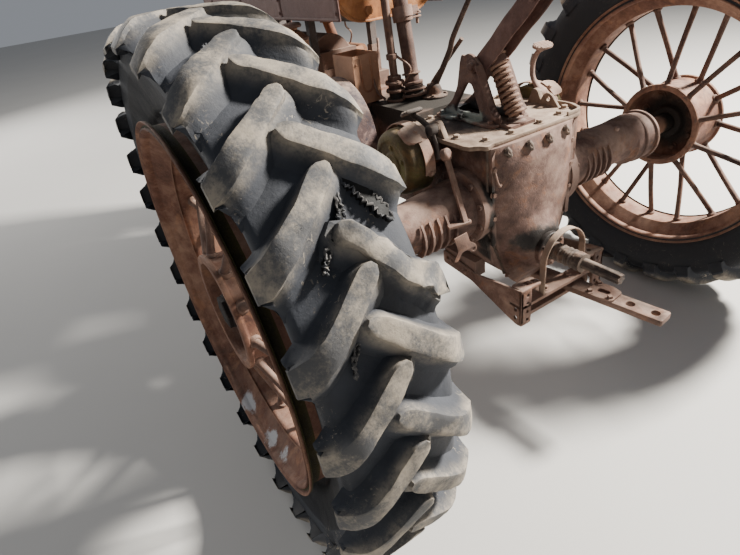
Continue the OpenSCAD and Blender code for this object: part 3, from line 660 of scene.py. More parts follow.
@dataclass(frozen=True)
class ColourPatch:
    """A patch of another colour, at a place given from the rear axle; it serves for stains and for painted
    shade.

    Gloss is what it takes off the roughness; ragged and scale say how its border wanders.
    """

    place: Point
    reach: Point
    colour: Colour
    gloss: float = 0.0
    ragged: float = 0.5
    scale: float = 14.0


@dataclass(frozen=True)
class Rust:
    """Rusted iron: cloudy brown with darker scale, pale dust, pits and worn edges."""

    name: str
    dark: Colour
    middle: Colour
    light: Colour
    orange: Colour = (0.3, 0.125, 0.05)
    orange_share: float = 0.35
    dust: Colour = (0.4, 0.31, 0.245)
    dust_share: float = 0.5
    paint: Colour | None = None
    paint_share: float = 0.0
    pits: float = 0.001
    stains_and_shade: tuple[ColourPatch, ...] = ()

    def make(self) -> bpy.types.Material:
        """Builds the material."""
        s = Shade(self.name)
        # Brown clouds with blots, and orange bloom over them.
        clouds, blots = s.noise(5.5, 8, 0.62), s.noise(26, 10, 0.7, twist=0.4)
        grain, pits = s.noise(240, 4, 0.7), s.cells(150)
        blend = s.sum("ADD", s.sum("MULTIPLY", clouds, 0.62), s.sum("MULTIPLY", blots, 0.38))
        colour = s.ramp(blend, [(0.36, self.dark), (0.49, self.middle), (0.64, self.light)])
        orange = s.sum("MULTIPLY", s.step(s.noise(13, 9, 0.7, twist=0.8), 0.52, 0.66), self.orange_share)
        colour = s.mix(orange, colour, self.orange)
        if self.paint is not None:
            flaked = s.sum("ADD", s.sum("MULTIPLY", s.noise(9, 9, 0.72), 0.7), s.sum("MULTIPLY", blots, 0.3))
            kept = s.step(flaked, 0.62 - self.paint_share * 0.3, 0.66 - self.paint_share * 0.3, 1.0, 0.0)
            colour = s.mix(s.sum("MULTIPLY", kept, 0.9), colour, self.paint)
        # Pale specks, dust on what faces up, worn edges and dark corners.
        speck = s.step(s.noise(90, 5, 0.6), 0.62, 0.72)
        colour = s.mix(s.sum("MULTIPLY", speck, 0.3), colour, self.light)
        up = s.step(s.axis("Z", s.facing), 0.25, 0.95)
        patches = s.step(s.noise(18, 8, 0.65), 0.35, 0.62)
        dusty = s.sum("MULTIPLY", s.sum("MULTIPLY", up, patches), self.dust_share)
        colour = s.mix(dusty, colour, self.dust)
        edges = s.step(s.node("NewGeometry", out="Pointiness"), 0.515, 0.575)
        colour = s.mix(s.sum("MULTIPLY", edges, 0.45), colour, self.light)
        crack = s.step(s.node("NewGeometry", out="Pointiness"), 0.42, 0.485, 1.0, 0.0)
        colour = s.mix(s.sum("MULTIPLY", crack, 0.5), colour, self.dark)
        rough: object = s.step(grain, 0.3, 0.7, 0.68, 0.92)
        # Oil, grease, old paint and painted shade at their places.
        for colour_patch in self.stains_and_shade:
            share = s.near(at(*colour_patch.place), colour_patch.reach, colour_patch.ragged, colour_patch.scale)
            colour = s.mix(share, colour, colour_patch.colour)
            rough = s.sum("SUBTRACT", rough, s.sum("MULTIPLY", share, colour_patch.gloss))
        normal = s.bump(grain, 0.0006, 0.5)
        normal = s.bump(s.step(pits, 0.05, 0.4), self.pits, 0.45, normal)
        normal = s.bump(blots, 0.0032, 0.42, normal)
        return s.finish(colour, rough, normal, shine=0.3)


@dataclass(frozen=True)
class Rubber:
    """Weathered tyre rubber.

    The mark is 1 on worn lug tops, 2 in torn places (black, partly painted shadow under the torn lug), 0 on the
    tread, and down to -1 on the walls and lug ends, where it paints shade.
    """

    name: str
    base: Colour = (0.016, 0.018, 0.023)
    grey: Colour = (0.046, 0.05, 0.06)
    dust: Colour = (0.33, 0.28, 0.215)
    dust_share: float = 0.8
    shade: Colour = (0.008, 0.008, 0.01)

    def make(self) -> bpy.types.Material:
        """Builds the material."""
        s = Shade(self.name)
        mark = s.mark()
        # Blue-grey rubber with specks of mud.
        clouds, fine = s.noise(9, 9, 0.62), s.noise(170, 6, 0.7)
        colour = s.ramp(clouds, [(0.33, self.base), (0.66, self.grey)])
        bare = s.step(s.noise(7, 6, 0.6), 0.5, 0.62)
        speck = s.sum("MULTIPLY", s.step(s.noise(75, 7, 0.7, twist=1.2), 0.585, 0.64), bare)
        colour = s.mix(s.sum("MULTIPLY", speck, 0.75), colour, self.dust)
        # Grey and dusty where the lugs are worn, and painted shade on the walls and the lugs' end faces.
        worn = s.step(mark, 0.3, 1.0)
        patch = s.step(s.sum("ADD", s.sum("MULTIPLY", s.noise(15, 8, 0.6), 0.75),
                             s.sum("MULTIPLY", fine, 0.25)), 0.4, 0.62)
        dusty = s.sum("MULTIPLY", s.sum("MULTIPLY", worn, patch), self.dust_share)
        colour = s.mix(s.sum("MULTIPLY", worn, 0.5), colour, (0.1, 0.097, 0.094))
        colour = s.mix(dusty, colour, self.dust)
        colour = s.mix(s.sum("MULTIPLY", s.step(mark, -0.9, -0.1, 1.0, 0.0), 0.75), colour, self.shade)
        # Fine cracks, and black where it is torn; beside the torn lug that black is also painted shadow.
        bent = s.node("VectorMath", {0: s.place, 1: s.noise(11, 5, 0.6)}, operation="ADD")
        lines = s.cells(34, "DISTANCE_TO_EDGE", bent)
        thin = s.sum("MULTIPLY", s.step(lines, 0.0, 0.02, 1.0, 0.0), s.step(s.noise(16, 6, 0.7), 0.56, 0.64))
        colour = s.mix(s.sum("MULTIPLY", thin, 0.7), colour, (0.012, 0.012, 0.014))
        colour = s.mix(s.step(mark, 1.5, 1.9), colour, (0.004, 0.004, 0.004))
        normal = s.bump(fine, 0.0009, 0.6)
        normal = s.bump(thin, -0.0015, 0.5, normal)
        normal = s.bump(s.noise(38, 8, 0.65), 0.004, 0.4, normal)
        return s.finish(colour, s.step(clouds, 0.3, 0.7, 0.62, 0.86), normal, shine=0.35)


OIL = (0.018, 0.014, 0.012)
PALE = (0.42, 0.42, 0.43)
DARK = (0.032, 0.019, 0.016)

CASE_STAINS = (
    *(ColourPatch((0.182, 0.1, z), (0.022, 0.07, 0.05), OIL, 0.25, 0.35, 30) for z in (0.7, 0.62, 0.55, 0.78)),
    ColourPatch((0.02, 0.16, 0.6), (0.13, 0.09, 0.045), OIL, 0.3, 0.5, 24),
    ColourPatch((0.21, 0.07, 0.9), (0.035, 0.05, 0.05), OIL, 0.2, 0.5, 30),
    ColourPatch((0.0, -0.45, 0.93), (0.3, 0.3, 0.09), (0.03, 0.026, 0.022), 0.1, 0.5, 10),
)
PLATE_STAINS = (
    ColourPatch((0.03, -0.13, 0.94), (0.19, 0.15, 0.05), (0.022, 0.02, 0.02), 0.35, 0.35, 18),
)
# Painted shade inside both hubs, and the pale patches inside the left rim.
WHEEL_SHADE_AND_PATCHES = (
    ColourPatch((-0.9, 0.0, 0.705), (0.075, 0.15, 0.15), (0.016, 0.012, 0.01), 0.0, 0.25, 16),
    ColourPatch((0.985, 0.0, 0.705), (0.08, 0.148, 0.148), (0.014, 0.009, 0.008), 0.0, 0.2, 16),
    ColourPatch((1.023, -0.142, 0.245), (0.03, 0.045, 0.04), PALE, 0.0, 0.9, 34),
    ColourPatch((1.013, 0.032, 0.224), (0.03, 0.04, 0.04), PALE, 0.0, 1.0, 34),
    ColourPatch((1.004, 0.138, 0.244), (0.03, 0.03, 0.03), PALE, 0.0, 1.1, 40),
)
# Oil on the bracket's plate, with two paler dry patches.
BRACKET_STAINS = (
    ColourPatch((0.0, -0.15, 0.955), (0.12, 0.17, 0.045), (0.014, 0.013, 0.014), 0.3, 0.5, 20),
    ColourPatch((0.05, -0.1, 0.965), (0.05, 0.06, 0.03), (0.2, 0.22, 0.19), 0.0, 0.9, 34),
    ColourPatch((0.06, -0.2, 0.95), (0.05, 0.05, 0.03), (0.16, 0.18, 0.17), 0.0, 0.9, 34),
)


class Finishes:
    """All the finishes of the tractor, made once."""

    def __init__(self) -> None:
        """Makes every material."""
        self.casting = Rust("rusted_casting", DARK, (0.116, 0.067, 0.053), (0.245, 0.165, 0.132),
                            dust=(0.36, 0.26, 0.2), dust_share=0.35, stains_and_shade=CASE_STAINS).make()
        self.steel = Rust("rusted_steel", DARK, (0.12, 0.066, 0.049), (0.245, 0.158, 0.12), orange_share=0.25,
                          dust_share=0.35).make()
        self.cover = Rust("top_plate_iron", (0.07, 0.043, 0.034), (0.15, 0.1, 0.072), (0.29, 0.22, 0.165),
                          dust_share=0.55, stains_and_shade=PLATE_STAINS).make()
        self.rim = Rust("rusted_rim", (0.06, 0.026, 0.019), (0.155, 0.072, 0.048), (0.31, 0.18, 0.12),
                        orange=(0.36, 0.175, 0.09), orange_share=0.45, dust_share=0.25,
                        stains_and_shade=WHEEL_SHADE_AND_PATCHES).make()
        # A darker copy of the spokes' iron, used on the right wheel as painted shade.
        self.shaded_spoke = Rust("spoke_painted_shade", (0.035, 0.02, 0.017), (0.08, 0.044, 0.034), (0.19, 0.11, 0.08),
                          orange_share=0.25, dust_share=0.2).make()
        self.oily = Rust("oily_iron", (0.013, 0.012, 0.012), (0.04, 0.034, 0.032), (0.15, 0.125, 0.115),
                         orange=(0.11, 0.06, 0.04), orange_share=0.4, dust=(0.26, 0.25, 0.225),
                         dust_share=0.45).make()
        self.greasy = Rust("greasy_shaft", (0.014, 0.012, 0.011), (0.046, 0.034, 0.029), (0.17, 0.125, 0.098),
                           orange_share=0.25, dust_share=0.15).make()
        self.hood = Rust("faded_hood", (0.052, 0.026, 0.023), (0.094, 0.047, 0.041), (0.165, 0.097, 0.083),
                         orange=(0.19, 0.09, 0.05), orange_share=0.25, paint=(0.104, 0.045, 0.041),
                         paint_share=0.75, dust_share=0.2, pits=0.0004).make()
        self.olive = Rust("olive_paint", (0.032, 0.024, 0.014), (0.078, 0.058, 0.026), (0.165, 0.14, 0.055),
                          orange=(0.22, 0.12, 0.05), orange_share=0.35, paint=(0.105, 0.1, 0.026),
                          paint_share=0.65, dust_share=0.2).make()
        self.pulley = Rust("pulley_iron", (0.026, 0.018, 0.02), (0.07, 0.042, 0.04), (0.36, 0.24, 0.2),
                           orange_share=0.2, paint=(0.04, 0.032, 0.04), paint_share=0.45).make()
        self.tank = Rust("orange_tank", (0.16, 0.062, 0.028), (0.33, 0.135, 0.05), (0.48, 0.25, 0.12),
                         orange=(0.52, 0.21, 0.06), orange_share=0.6, dust_share=0.2).make()
        self.tin = Rust("tin_box", (0.13, 0.055, 0.034), (0.3, 0.145, 0.082), (0.42, 0.25, 0.16),
                        orange=(0.4, 0.17, 0.07), orange_share=0.45, dust_share=0.2).make()
        self.bracket = Rust("bracket_iron", (0.034, 0.019, 0.016), (0.09, 0.048, 0.038), (0.19, 0.115, 0.088),
                            orange_share=0.2, dust_share=0.35, stains_and_shade=BRACKET_STAINS).make()
        self.spring = Rust("coil_rust", (0.065, 0.034, 0.024), (0.155, 0.08, 0.054), (0.3, 0.19, 0.135),
                           orange=(0.26, 0.12, 0.06), orange_share=0.35, dust_share=0.1).make()
        self.bar = Rust("bar_iron", (0.046, 0.025, 0.021), (0.098, 0.05, 0.041), (0.165, 0.098, 0.08),
                        orange_share=0.15, dust_share=0.25).make()
        self.pad = Rust("dark_pad", (0.016, 0.014, 0.014), (0.045, 0.036, 0.034), (0.17, 0.145, 0.125),
                        orange_share=0.3, dust_share=0.4).make()
        self.pink = Rust("pale_pad", (0.085, 0.05, 0.04), (0.2, 0.125, 0.098), (0.38, 0.27, 0.215),
                         orange_share=0.2, dust_share=0.35).make()
        self.engine = Rust("engine_iron", (0.022, 0.016, 0.014), (0.095, 0.054, 0.042), (0.22, 0.145, 0.11),
                           orange_share=0.35, dust_share=0.45, pits=0.0014).make()
        self.exhaust = Rust("burnt_tin", (0.07, 0.03, 0.02), (0.185, 0.082, 0.045), (0.32, 0.17, 0.09),
                            orange=(0.36, 0.15, 0.05), orange_share=0.6, dust_share=0.15).make()
        self.lever = Rust("lever_iron", (0.018, 0.014, 0.013), (0.05, 0.034, 0.028), (0.14, 0.095, 0.075),
                          orange_share=0.35, dust_share=0.2).make()
        self.pad_plate = Rust("band_iron", (0.08, 0.042, 0.032), (0.23, 0.128, 0.092), (0.42, 0.29, 0.22),
                              orange_share=0.3, dust_share=0.7).make()
        self.hoop = Rust("hoop_iron", (0.07, 0.045, 0.035), (0.185, 0.12, 0.088), (0.36, 0.27, 0.2),
                         orange_share=0.2, dust_share=0.4).make()
        self.rubber = Rubber("tyre_rubber").make()
        self.ribbed = Rubber("ribbed_tyre", dust_share=0.6).make()
        # The bare seat where the bead is off: olive, darkened as painted shade.
        self.shaded_seat = Rust("bead_seat_painted_shade", (0.01, 0.008, 0.005), (0.028, 0.022, 0.009), (0.075, 0.058, 0.016),
                         orange=(0.07, 0.05, 0.012), orange_share=0.4, dust_share=0.0).make()


# Rear wheels


@dataclass
class Side:
    """One side of the tractor: the wheel's centre, which way is outboard, and its bodies and nodes."""

    sign: int
    body: Body
    suffix: str
    tread_half: float = 0.932

    def __post_init__(self) -> None:
        """Finds the wheel's centre."""
        self.centre = Vector((self.sign * self.tread_half, AXLE_Y, AXLE_Z))

    def spot(self, x: float, r: float, angle: float) -> Vector:
        """A point on the wheel.

        Args:
            x: Distance outboard of the wheel's middle.
            r: Radius.
            angle: Degrees from the rear towards the top.

        Returns:
            The point in the row frame.
        """
        a = radians(angle)
        c = self.centre
        return Vector((c.x + self.sign * x, c.y + r * cos(a), c.z + r * sin(a)))


LEFT_SIDE = Side(1, Body.REAR_LEFT, "left")
RIGHT_SIDE = Side(-1, Body.REAR_RIGHT, "right")


@dataclass(frozen=True)
class Tear:
    """A tear: its run as distances outboard of the middle with degrees from the rear, and its size."""

    line: tuple[Pair, ...]
    width: float
    lift: float = 0.01


# The rings of a lug from its top to below its foot. Each has the pull of its points to the lug's middle
# line, its drop (a length below SMALL_DROP, and a share of the lug's height from there on), its share of
# the flank's reach and its mark.
SMALL_DROP = 0.1
LUG_RINGS: tuple[tuple[float, float, float, float], ...] = (
    (0.6, 0.0, 0.0, 0.95), (0.16, 0.0002, 0.0, 1.0), (0.03, 0.001, 0.0, 1.0), (0.0, 0.0042, 0.02, 0.9),
    (0.0, 0.011, 0.1, 0.72), (0.0, 0.45, 0.42, 0.52), (0.0, 0.82, 0.78, 0.25), (0.0, 1.0, 1.15, 0.0),
    (0.0, 1.22, 1.6, 0.0))


@dataclass
class RearTyre:
    """A tall chevron tyre, worn, cracked and with its outer bead off its seat where slip is not zero."""

    side: Side
    slip: float = 0.0
    radius: float = 0.705
    crown: float = 0.667
    lug_count: int = 27
    phase: float = 11.9
    wall: float = 0.142
    bead_r: float = 0.4846
    bead: float = 0.1077
    torn: tuple[int, ...] = ()
    seed: int = 3
    around: int = 240
    tears: tuple[Tear, ...] = ()
    path: tuple[Pair, ...] = ((-0.022, 0.068), (0.008, 0.043), (0.044, 0.011), (0.08, -0.019), (0.11, -0.041),
                              (0.132, -0.055), (0.15, -0.064))

    def __post_init__(self) -> None:
        """Sets up the profile lines and the seeded dice."""
        self.dice = random.Random(self.seed)
        self.shift = -self.slip / 2
        self.halves = {1: self.section(self.slip > 0), -1: self.section(False)}

    def section(self, pulled: bool) -> tuple[list[Pair], list[Pair]]:
        """One half of the casing.

        Args:
            pulled: Whether its bead is off the seat, which pulls the wall in.

        Returns:
            Its outside from the crown to the bead and its inside back to the crown.
        """
        low, bead = self.bead_r, self.bead - self.slip / 2
        if pulled:
            wall = [(0.116, 0.654), (0.122, 0.638), (0.118, 0.608), (0.108, 0.572)]
            inner = [(0.09, 0.58), (0.098, 0.615), (0.094, 0.636)]
        else:
            wall = [(0.121, 0.65), (self.wall, 0.612), (self.wall - 0.002, 0.572)]
            inner = [(self.wall - 0.018, 0.58), (self.wall - 0.022, 0.615), (0.1, 0.64)]
        outside = rounded([(0.0, self.crown), (0.066, self.crown - 0.003), *wall, (bead + 0.012, low + 0.032),
                           (bead, low + 0.016), (bead, low)], 0.022, 5)
        return outside, [(bead - 0.024, low), (bead - 0.02, low + 0.03), *inner, (0.0, self.crown - 0.02)]

    def base_r(self, x: float) -> float:
        """Radius of the casing at a distance outboard of its middle."""
        line = self.halves[1 if x >= 0 else -1][0]
        x = min(abs(x), max(q[0] for q in line) - 0.002)
        for (x0, r0), (x1, r1) in zip(line, line[1:]):
            if x0 <= x <= x1 and x1 > x0:
                return r0 + (r1 - r0) * (x - x0) / (x1 - x0)
        return 0.61

    def top_r(self, x: float) -> float:
        """Radius of a lug's top at a distance from the middle."""
        x = abs(x)
        return self.radius - 0.0015 - 0.3 * x**2 - 9.0 * max(0.0, x - 0.085) ** 2.0

    def place(self, x: float, r: float, swing: float, turn: float) -> Vector:
        """A point of the tyre.

        Args:
            x: Distance outboard from the tyre's middle.
            r: Distance from the axle.
            swing: Length along the tread.
            turn: The place of the lug, in degrees.

        Returns:
            The point.
        """
        return self.side.spot(x + self.shift, r, self.phase + turn + degrees(swing / self.radius))

    def wobble(self, p: Vector, amount: float, scale: float) -> float:
        """Smooth noise about zero."""
        return noise.fractal(p * scale + Vector((self.seed, 0, 0)), 1.0, 2.0, 4) * amount

    def casing(self, skin: Skin) -> None:
        """The casing between the lugs, with soft dents and painted shade on its walls."""
        outboard, inboard = (outside + inside for outside, inside in (self.halves[1], self.halves[-1]))
        line = outboard + [(-x, r) for x, r in reversed(inboard)][:-1]
        line = [q for i, q in enumerate(line) if i == 0 or q != line[i - 1]]
        rings = []
        for k in range(self.around):
            turn = 360.0 * k / self.around
            ring = []
            for x, r in line:
                p = self.place(x, r, 0.0, turn)
                sag = self.wobble(p, 0.0035, 5.0) + self.wobble(p, 0.0012, 30.0)
                ring.append(self.place(x * (1 + sag * 0.8), r + sag * (0.5 if r < 0.52 else 1.0), 0.0, turn))
            rings.append(ring)
        skin.rings(rings, around=True, caps=False, loop=True)
        # The mark falls to -1 past the shoulder, which paints shade on the walls.
        wall = [-min(1.0, max(0.0, (abs(x) - 0.118) / 0.022)) if r > 0.6 else -1.0 for x, r in line]
        skin.marks[:] = wall * self.around

    def bar_line(self, torn: bool) -> list[Vector]:
        """The middle line of one bar of the tread, each a little different, from its nose to its tail."""
        slack, tilt = self.dice.uniform(-0.003, 0.003), self.dice.uniform(-0.03, 0.03)
        path = [(x, s + slack + tilt * (x - 0.06), 0) for x, s in self.path]
        if torn:
            path = [(max(x, 0.002 + 0.2 * x), s - 0.006 - 0.26 * max(0.0, x) + 0.004 * sin(60 * x), 0)
                    for x, s, _ in path]
        return smooth_path(path, 4)

    def bar_outline(self, line: Sequence[Vector], index: int) -> list[Vector]:
        """The outline of a bar's top.

        Args:
            line: Its middle line.
            index: Its place in the row, which varies its width.

        Returns:
            Its rear side from the nose to the tail, and its front side back to the nose.
        """
        n, tail_x = len(line), self.path[-1][0]
        left, right = [], []
        for i, c in enumerate(line):
            t = i / (n - 1)
            ahead = unit(line[min(i + 1, n - 1)] - line[max(i - 1, 0)])
            normal = Vector((-ahead.y, ahead.x, 0))
            w = (0.0155 + 0.0085 * t) * sqrt(max(0.0, 1 - max(0.0, 1 - t / 0.13) ** 2.6) + 0.1)
            w *= 1 + 0.05 * sin(7 * t + index)
            a, b = c + normal * w, c - normal * w
            a.x, b.x = min(a.x, tail_x), min(b.x, tail_x)
            if i == n - 1:
                a.x = b.x = tail_x
            left.append(a)
            right.append(b)
        return left + right[::-1]

    def lug(self, skin: Skin, row: int, index: int) -> None:
        """One worn bar of the tread: a narrow nose, a broad inner flank, a steep outer one and a flat end.

        Args:
            skin: Where it goes.
            row: 0 for the outboard row and 1 for the inboard one.
            index: Its place in the row.
        """
        turn = (2 * index + row) * 180.0 / self.lug_count
        flip = 1 if row == 0 else -1
        torn = row == 1 and index in self.torn
        tail_x = self.path[-1][0]
        tail_foot, tuck = (0.658, 0.15) if flip > 0 and self.slip > 0 else (0.612, 0.0)
        line = self.bar_line(torn)
        loop = self.bar_outline(line, index)
        n, count = len(line), len(loop)
        middle = line + line[::-1]
        base = len(skin.points)
        rings: list[list[Vector]] = []
        marks: list[float] = []
        for pull, drop, reach, mark in LUG_RINGS:
            ring = []
            for k, q in enumerate(loop):
                ahead = loop[(k + 1) % count] - loop[k - 1]
                out = unit(Vector((-ahead.y, ahead.x, 0))) if ahead.length > 1e-6 else Vector((0, 0, 0))
                at_tail = abs(q.x - tail_x) < 1e-4
                flank = 0.008 if at_tail else 0.01 if k < n else 0.03
                p = q.lerp(middle[k], pull) + out * reach * flank
                p.x = min(p.x, tail_x + 0.0005)
                if at_tail:
                    p.x = tail_x + 0.001 - 0.006 * max(0.0, drop - SMALL_DROP) - tuck * max(0.0, drop - 0.95)
                top = self.top_r(min(p.x, tail_x))
                foot = tail_foot if at_tail else self.base_r(flip * p.x)
                height = top - foot
                r = top - (drop if drop < SMALL_DROP else drop * height)
                spot = self.place(p.x, r, p.y, turn)
                if drop < SMALL_DROP:
                    r += self.wobble(spot, 0.002, 22.0) + self.wobble(spot, 0.0022, 6.0)
                    if torn:
                        r += 0.007 * sin(46 * p.x) - 0.003 + self.wobble(spot, 0.008, 26.0)
                    r = min(r, self.radius - 0.0004)
                slide = self.wobble(spot, 0.006 if torn else 0.0015, 34.0)
                ring.append(self.place(flip * (p.x + (0.0 if at_tail else slide)), r, p.y + slide, turn))
            rings.append(ring)
            # The lugs' end faces get a mark of -0.7, which paints shade on them.
            marks += [-0.7 if drop > 0.2 and abs(q.x - tail_x) < 1e-4 else mark for q in loop][::flip]
        skin.rings(rings if flip > 0 else [list(reversed(r)) for r in rings], caps=False)
        skin.marks[base:] = marks
        for i in range(n - 1):
            skin.faces.append((base + i, base + i + 1, base + count - 2 - i, base + count - 1 - i))

    def tear(self, skin: Skin, tear: Tear) -> None:
        """A ragged tear with curled lips, painted black; beside the torn lug the black is also painted shadow
        under it.

        Args:
            skin: Where it goes.
            tear: The tear.
        """
        path = smooth_path([(x, radians(d) * self.radius, 0) for x, d in tear.line], 10)
        rings: list[list[Vector]] = []
        lips: tuple[list[Vector], list[Vector]] = ([], [])
        dice = self.dice
        for i, c in enumerate(path):
            t = i / (len(path) - 1)
            ahead = unit(path[min(i + 1, len(path) - 1)] - path[max(i - 1, 0)])
            normal = Vector((-ahead.y, ahead.x, 0))
            w = tear.width * (sin(pi * min(max(t, 0.03), 0.97)) ** 0.6) * dice.uniform(0.5, 1.2)
            sides = ((-0.62, -0.006), (-0.46, tear.lift), (0.46, tear.lift), (0.62, -0.006))
            rings.append([self.on_casing(c + normal * w * side, rise) for side, rise in sides])
            for lip, side in zip(lips, (-0.5, 0.5)):
                q = c + normal * (w * side + dice.uniform(-0.0025, 0.0025))
                lip.append(self.on_casing(q, tear.lift + dice.uniform(-0.003, 0.002)))
        skin.rings(rings, mark=2.0)
        for lip in lips:
            skin.tube(lip, [dice.uniform(0.0008, 0.0032) for _ in lip], 6, mark=0.5)

    def on_casing(self, place: Vector, rise: float) -> Vector:
        """A point over the casing, from its distance outboard, its run along the tread and its height."""
        r = self.base_r(place.x) + rise
        return self.side.spot(place.x + self.shift, r, degrees(place.y / self.radius))

    def build(self, finishes: Finishes) -> bpy.types.Object:
        """Makes the tyre."""
        skin = Skin()
        self.casing(skin)
        for row in (0, 1):
            for index in range(self.lug_count):
                self.lug(skin, row, index)
        for tear in self.tears:
            self.tear(skin, tear)
        return skin.build("rear_tyre_" + self.side.suffix + "_worn", finishes.rubber, Slot.TYRE,
                          self.side.body, crease=38, replaces=["rear_tyre_" + self.side.suffix])


# Tears in the left tyre, painted black; the broad ones beside the torn lug also paint the shadow under it.
LEFT_TEARS_AND_SHADOW: tuple[Tear, ...] = (
    Tear(((0.017, 50.8), (0.007, 49.2), (-0.006, 47.8), (-0.022, 46.9), (-0.034, 45.4)), 0.013, 0.02),
    Tear(((-0.036, 45.0), (-0.056, 41.8), (-0.069, 39.6), (-0.083, 37.3), (-0.098, 34.8)), 0.032, 0.014),
    Tear(((-0.024, 43.0), (-0.016, 39.3), (-0.013, 37.5), (0.012, 35.6), (0.035, 33.5), (0.048, 31.6)),
         0.012, 0.016),
    Tear(((-0.01, 33.2), (-0.033, 31.0), (-0.053, 29.2), (-0.071, 27.2), (-0.108, 23.8)), 0.026, 0.016),
    Tear(((0.05, 40.4), (0.064, 39.2), (0.076, 38.0), (0.095, 36.6)), 0.008),
    Tear(((0.02, 62.8), (0.008, 61.0), (-0.002, 59.6)), 0.007, 0.014),
    Tear(((0.01, 24.0), (0.03, 22.4), (0.052, 20.0), (0.06, 17.4)), 0.005),
    Tear(((0.03, 72.0), (0.042, 69.5), (0.06, 67.0)), 0.01, 0.016),
)


@dataclass
class RearWheel:
    """A spoked steel wheel: rolled rim, two rows of spokes, and a hub drum open at both ends."""

    side: Side
    spoke_count: int = 20
    phase: float = 88.0
    lip_r: float = 0.505
    seat_r: float = 0.484
    well_r: float = 0.43
    half_w: float = 0.115
    sheet: float = 0.007
    drum_r: float = 0.153
    drum_out: float = 0.095
    ragged_bead: bool = False

    def axis(self) -> Vector:
        """The outboard direction."""
        return Vector((self.side.sign, 0, 0))

    def rim(self, skin: Skin) -> None:
        """The rolled rim as one closed ring."""
        t = self.sheet
        half = [(self.lip_r - 0.001, self.half_w + 0.001), (self.lip_r - 0.001, self.half_w - t - 0.001),
                (self.seat_r + t * 0.3, self.half_w - t - 0.002), (self.seat_r, 0.082),
                (self.well_r + t, 0.045)]
        back = [(self.well_r, 0.047), (self.seat_r - t, 0.085), (self.seat_r - t, self.half_w - 0.01),
                (self.seat_r + 0.004, self.half_w)]
        ring = rounded(half + [(r, -d) for r, d in reversed(half)] + [(r, -d) for r, d in back]
                       + [(r, d) for r, d in reversed(back)], 0.01, 3, closed=True)
        skin.turned(ring, self.side.centre, self.axis(), 160, closed=True)

    def bare_seat(self, skin: Skin) -> None:
        """A dark olive ring on the rim's seat and lip, where the bead has come off: the olive is the seat's
        own, the dark is painted shade.
        """
        r, lip = self.seat_r, self.lip_r - 0.003
        skin.turned([(r - 0.039, 0.0475), (r + 0.004, 0.08), (r + 0.0045, 0.094), (r + 0.0055, 0.1005),
                     (r + 0.01, 0.1035), (lip, 0.1045), (lip, 0.1065), (r + 0.003, 0.1065), (r - 0.002, 0.084),
                     (r - 0.041, 0.0515)], self.side.centre, self.axis(), 160, closed=True)

    def hub(self, skin: Skin) -> None:
        """The drum, its web, the boss and the axle's end."""
        d, out = self.drum_r, self.drum_out
        c, a = self.side.centre, self.axis()
        drum = [(d - 0.013, -0.088), (d + 0.009, -0.088), (d + 0.01, -0.074), (d, -0.068), (d, out - 0.018),
                (d + 0.009, out - 0.013), (d + 0.009, out), (d - 0.013, out)]
        skin.turned(rounded(drum, 0.003, 2, closed=True), c, a, 72, closed=True)
        web = [(0.0365, -0.034), (0.062, -0.034), (0.068, -0.012), (0.12, -0.016), (d - 0.008, -0.02),
               (d - 0.008, 0.004), (0.12, 0.004), (0.07, 0.018), (0.062, 0.07), (0.05, 0.076),
               (0.0365, 0.076)]
        skin.turned(rounded(web, 0.006, 3, closed=True), c, a, 64, closed=True)
        for k in range(8):
            skin.bolt(self.side.spot(0.004, 0.105, 22.5 + 45 * k), a, 0.012, 0.011)
            skin.bolt(self.side.spot(-0.016, 0.105, 22.5 + 45 * k), -a, 0.012, 0.01)

    def axle_shaft(self, skin: Skin) -> None:
        """The driving axle from the housing to its nut."""
        c, a = self.side.centre, self.axis()
        shaft = [(0.0, -0.246), (0.036, -0.246), (0.036, 0.078), (0.03, 0.0785), (0.03, 0.094), (0.0, 0.095)]
        skin.turned(shaft, c, a, 40)
        skin.turned([(0.036, 0.0765), (0.047, 0.0765), (0.047, 0.082), (0.036, 0.083)], c, a, 32)
        skin.turned([(0.028, 0.08), (0.045, 0.08), (0.045, 0.0925), (0.04, 0.0945), (0.028, 0.0945)], c, a, 6,
                    start=9)

    def spokes(self, skin: Skin) -> None:
        """Forged spokes with swelled ends, headed over in the rim and flattened on the drum."""
        dice = random.Random(11 + self.side.sign)
        low, high = self.drum_r - 0.004, self.well_r + 0.004
        for i in range(self.spoke_count):
            deg = self.phase + i * 360 / self.spoke_count
            foot_x, head_x = ((-0.072, 0.01), (self.drum_out - 0.026, -0.01))[i % 2]
            bow = dice.uniform(-0.004, 0.004)
            stations = [(0.0, foot_x, 0.0, 0.014), (0.03, foot_x, 0.0, 0.013),
                        (0.1, foot_x * 0.93 + head_x * 0.07, bow * 0.3, 0.0104),
                        (0.5, (foot_x + head_x) / 2, bow, 0.01), (0.93, head_x, bow * 0.2, 0.0106),
                        (1.0, head_x, 0.0, 0.0135)]
            path = [self.side.spot(x, low + (high - low) * t, deg + degrees(sway / 0.3))
                    for t, x, sway, _ in stations]
            skin.tube(smooth_path(path, 4), interp([r for *_, r in stations], 4), 12)
            inward = unit(path[0] - path[-1])
            head = [(0, 0.0), (0.017, 0.0), (0.0165, 0.006), (0.012, 0.01), (0, 0.011)]
            skin.turned(head, path[-1], inward, 16)
            foot = [(0, -0.003), (0.019, -0.003), (0.0185, 0.006), (0.0135, 0.012), (0, 0.0125)]
            skin.turned(foot, path[0], -inward, 16)
            outer = self.side.spot(head_x, self.well_r + 0.0065, deg)
            skin.turned([(0, 0), (0.013, 0), (0.011, 0.006), (0, 0.0085)], outer, -inward, 14)

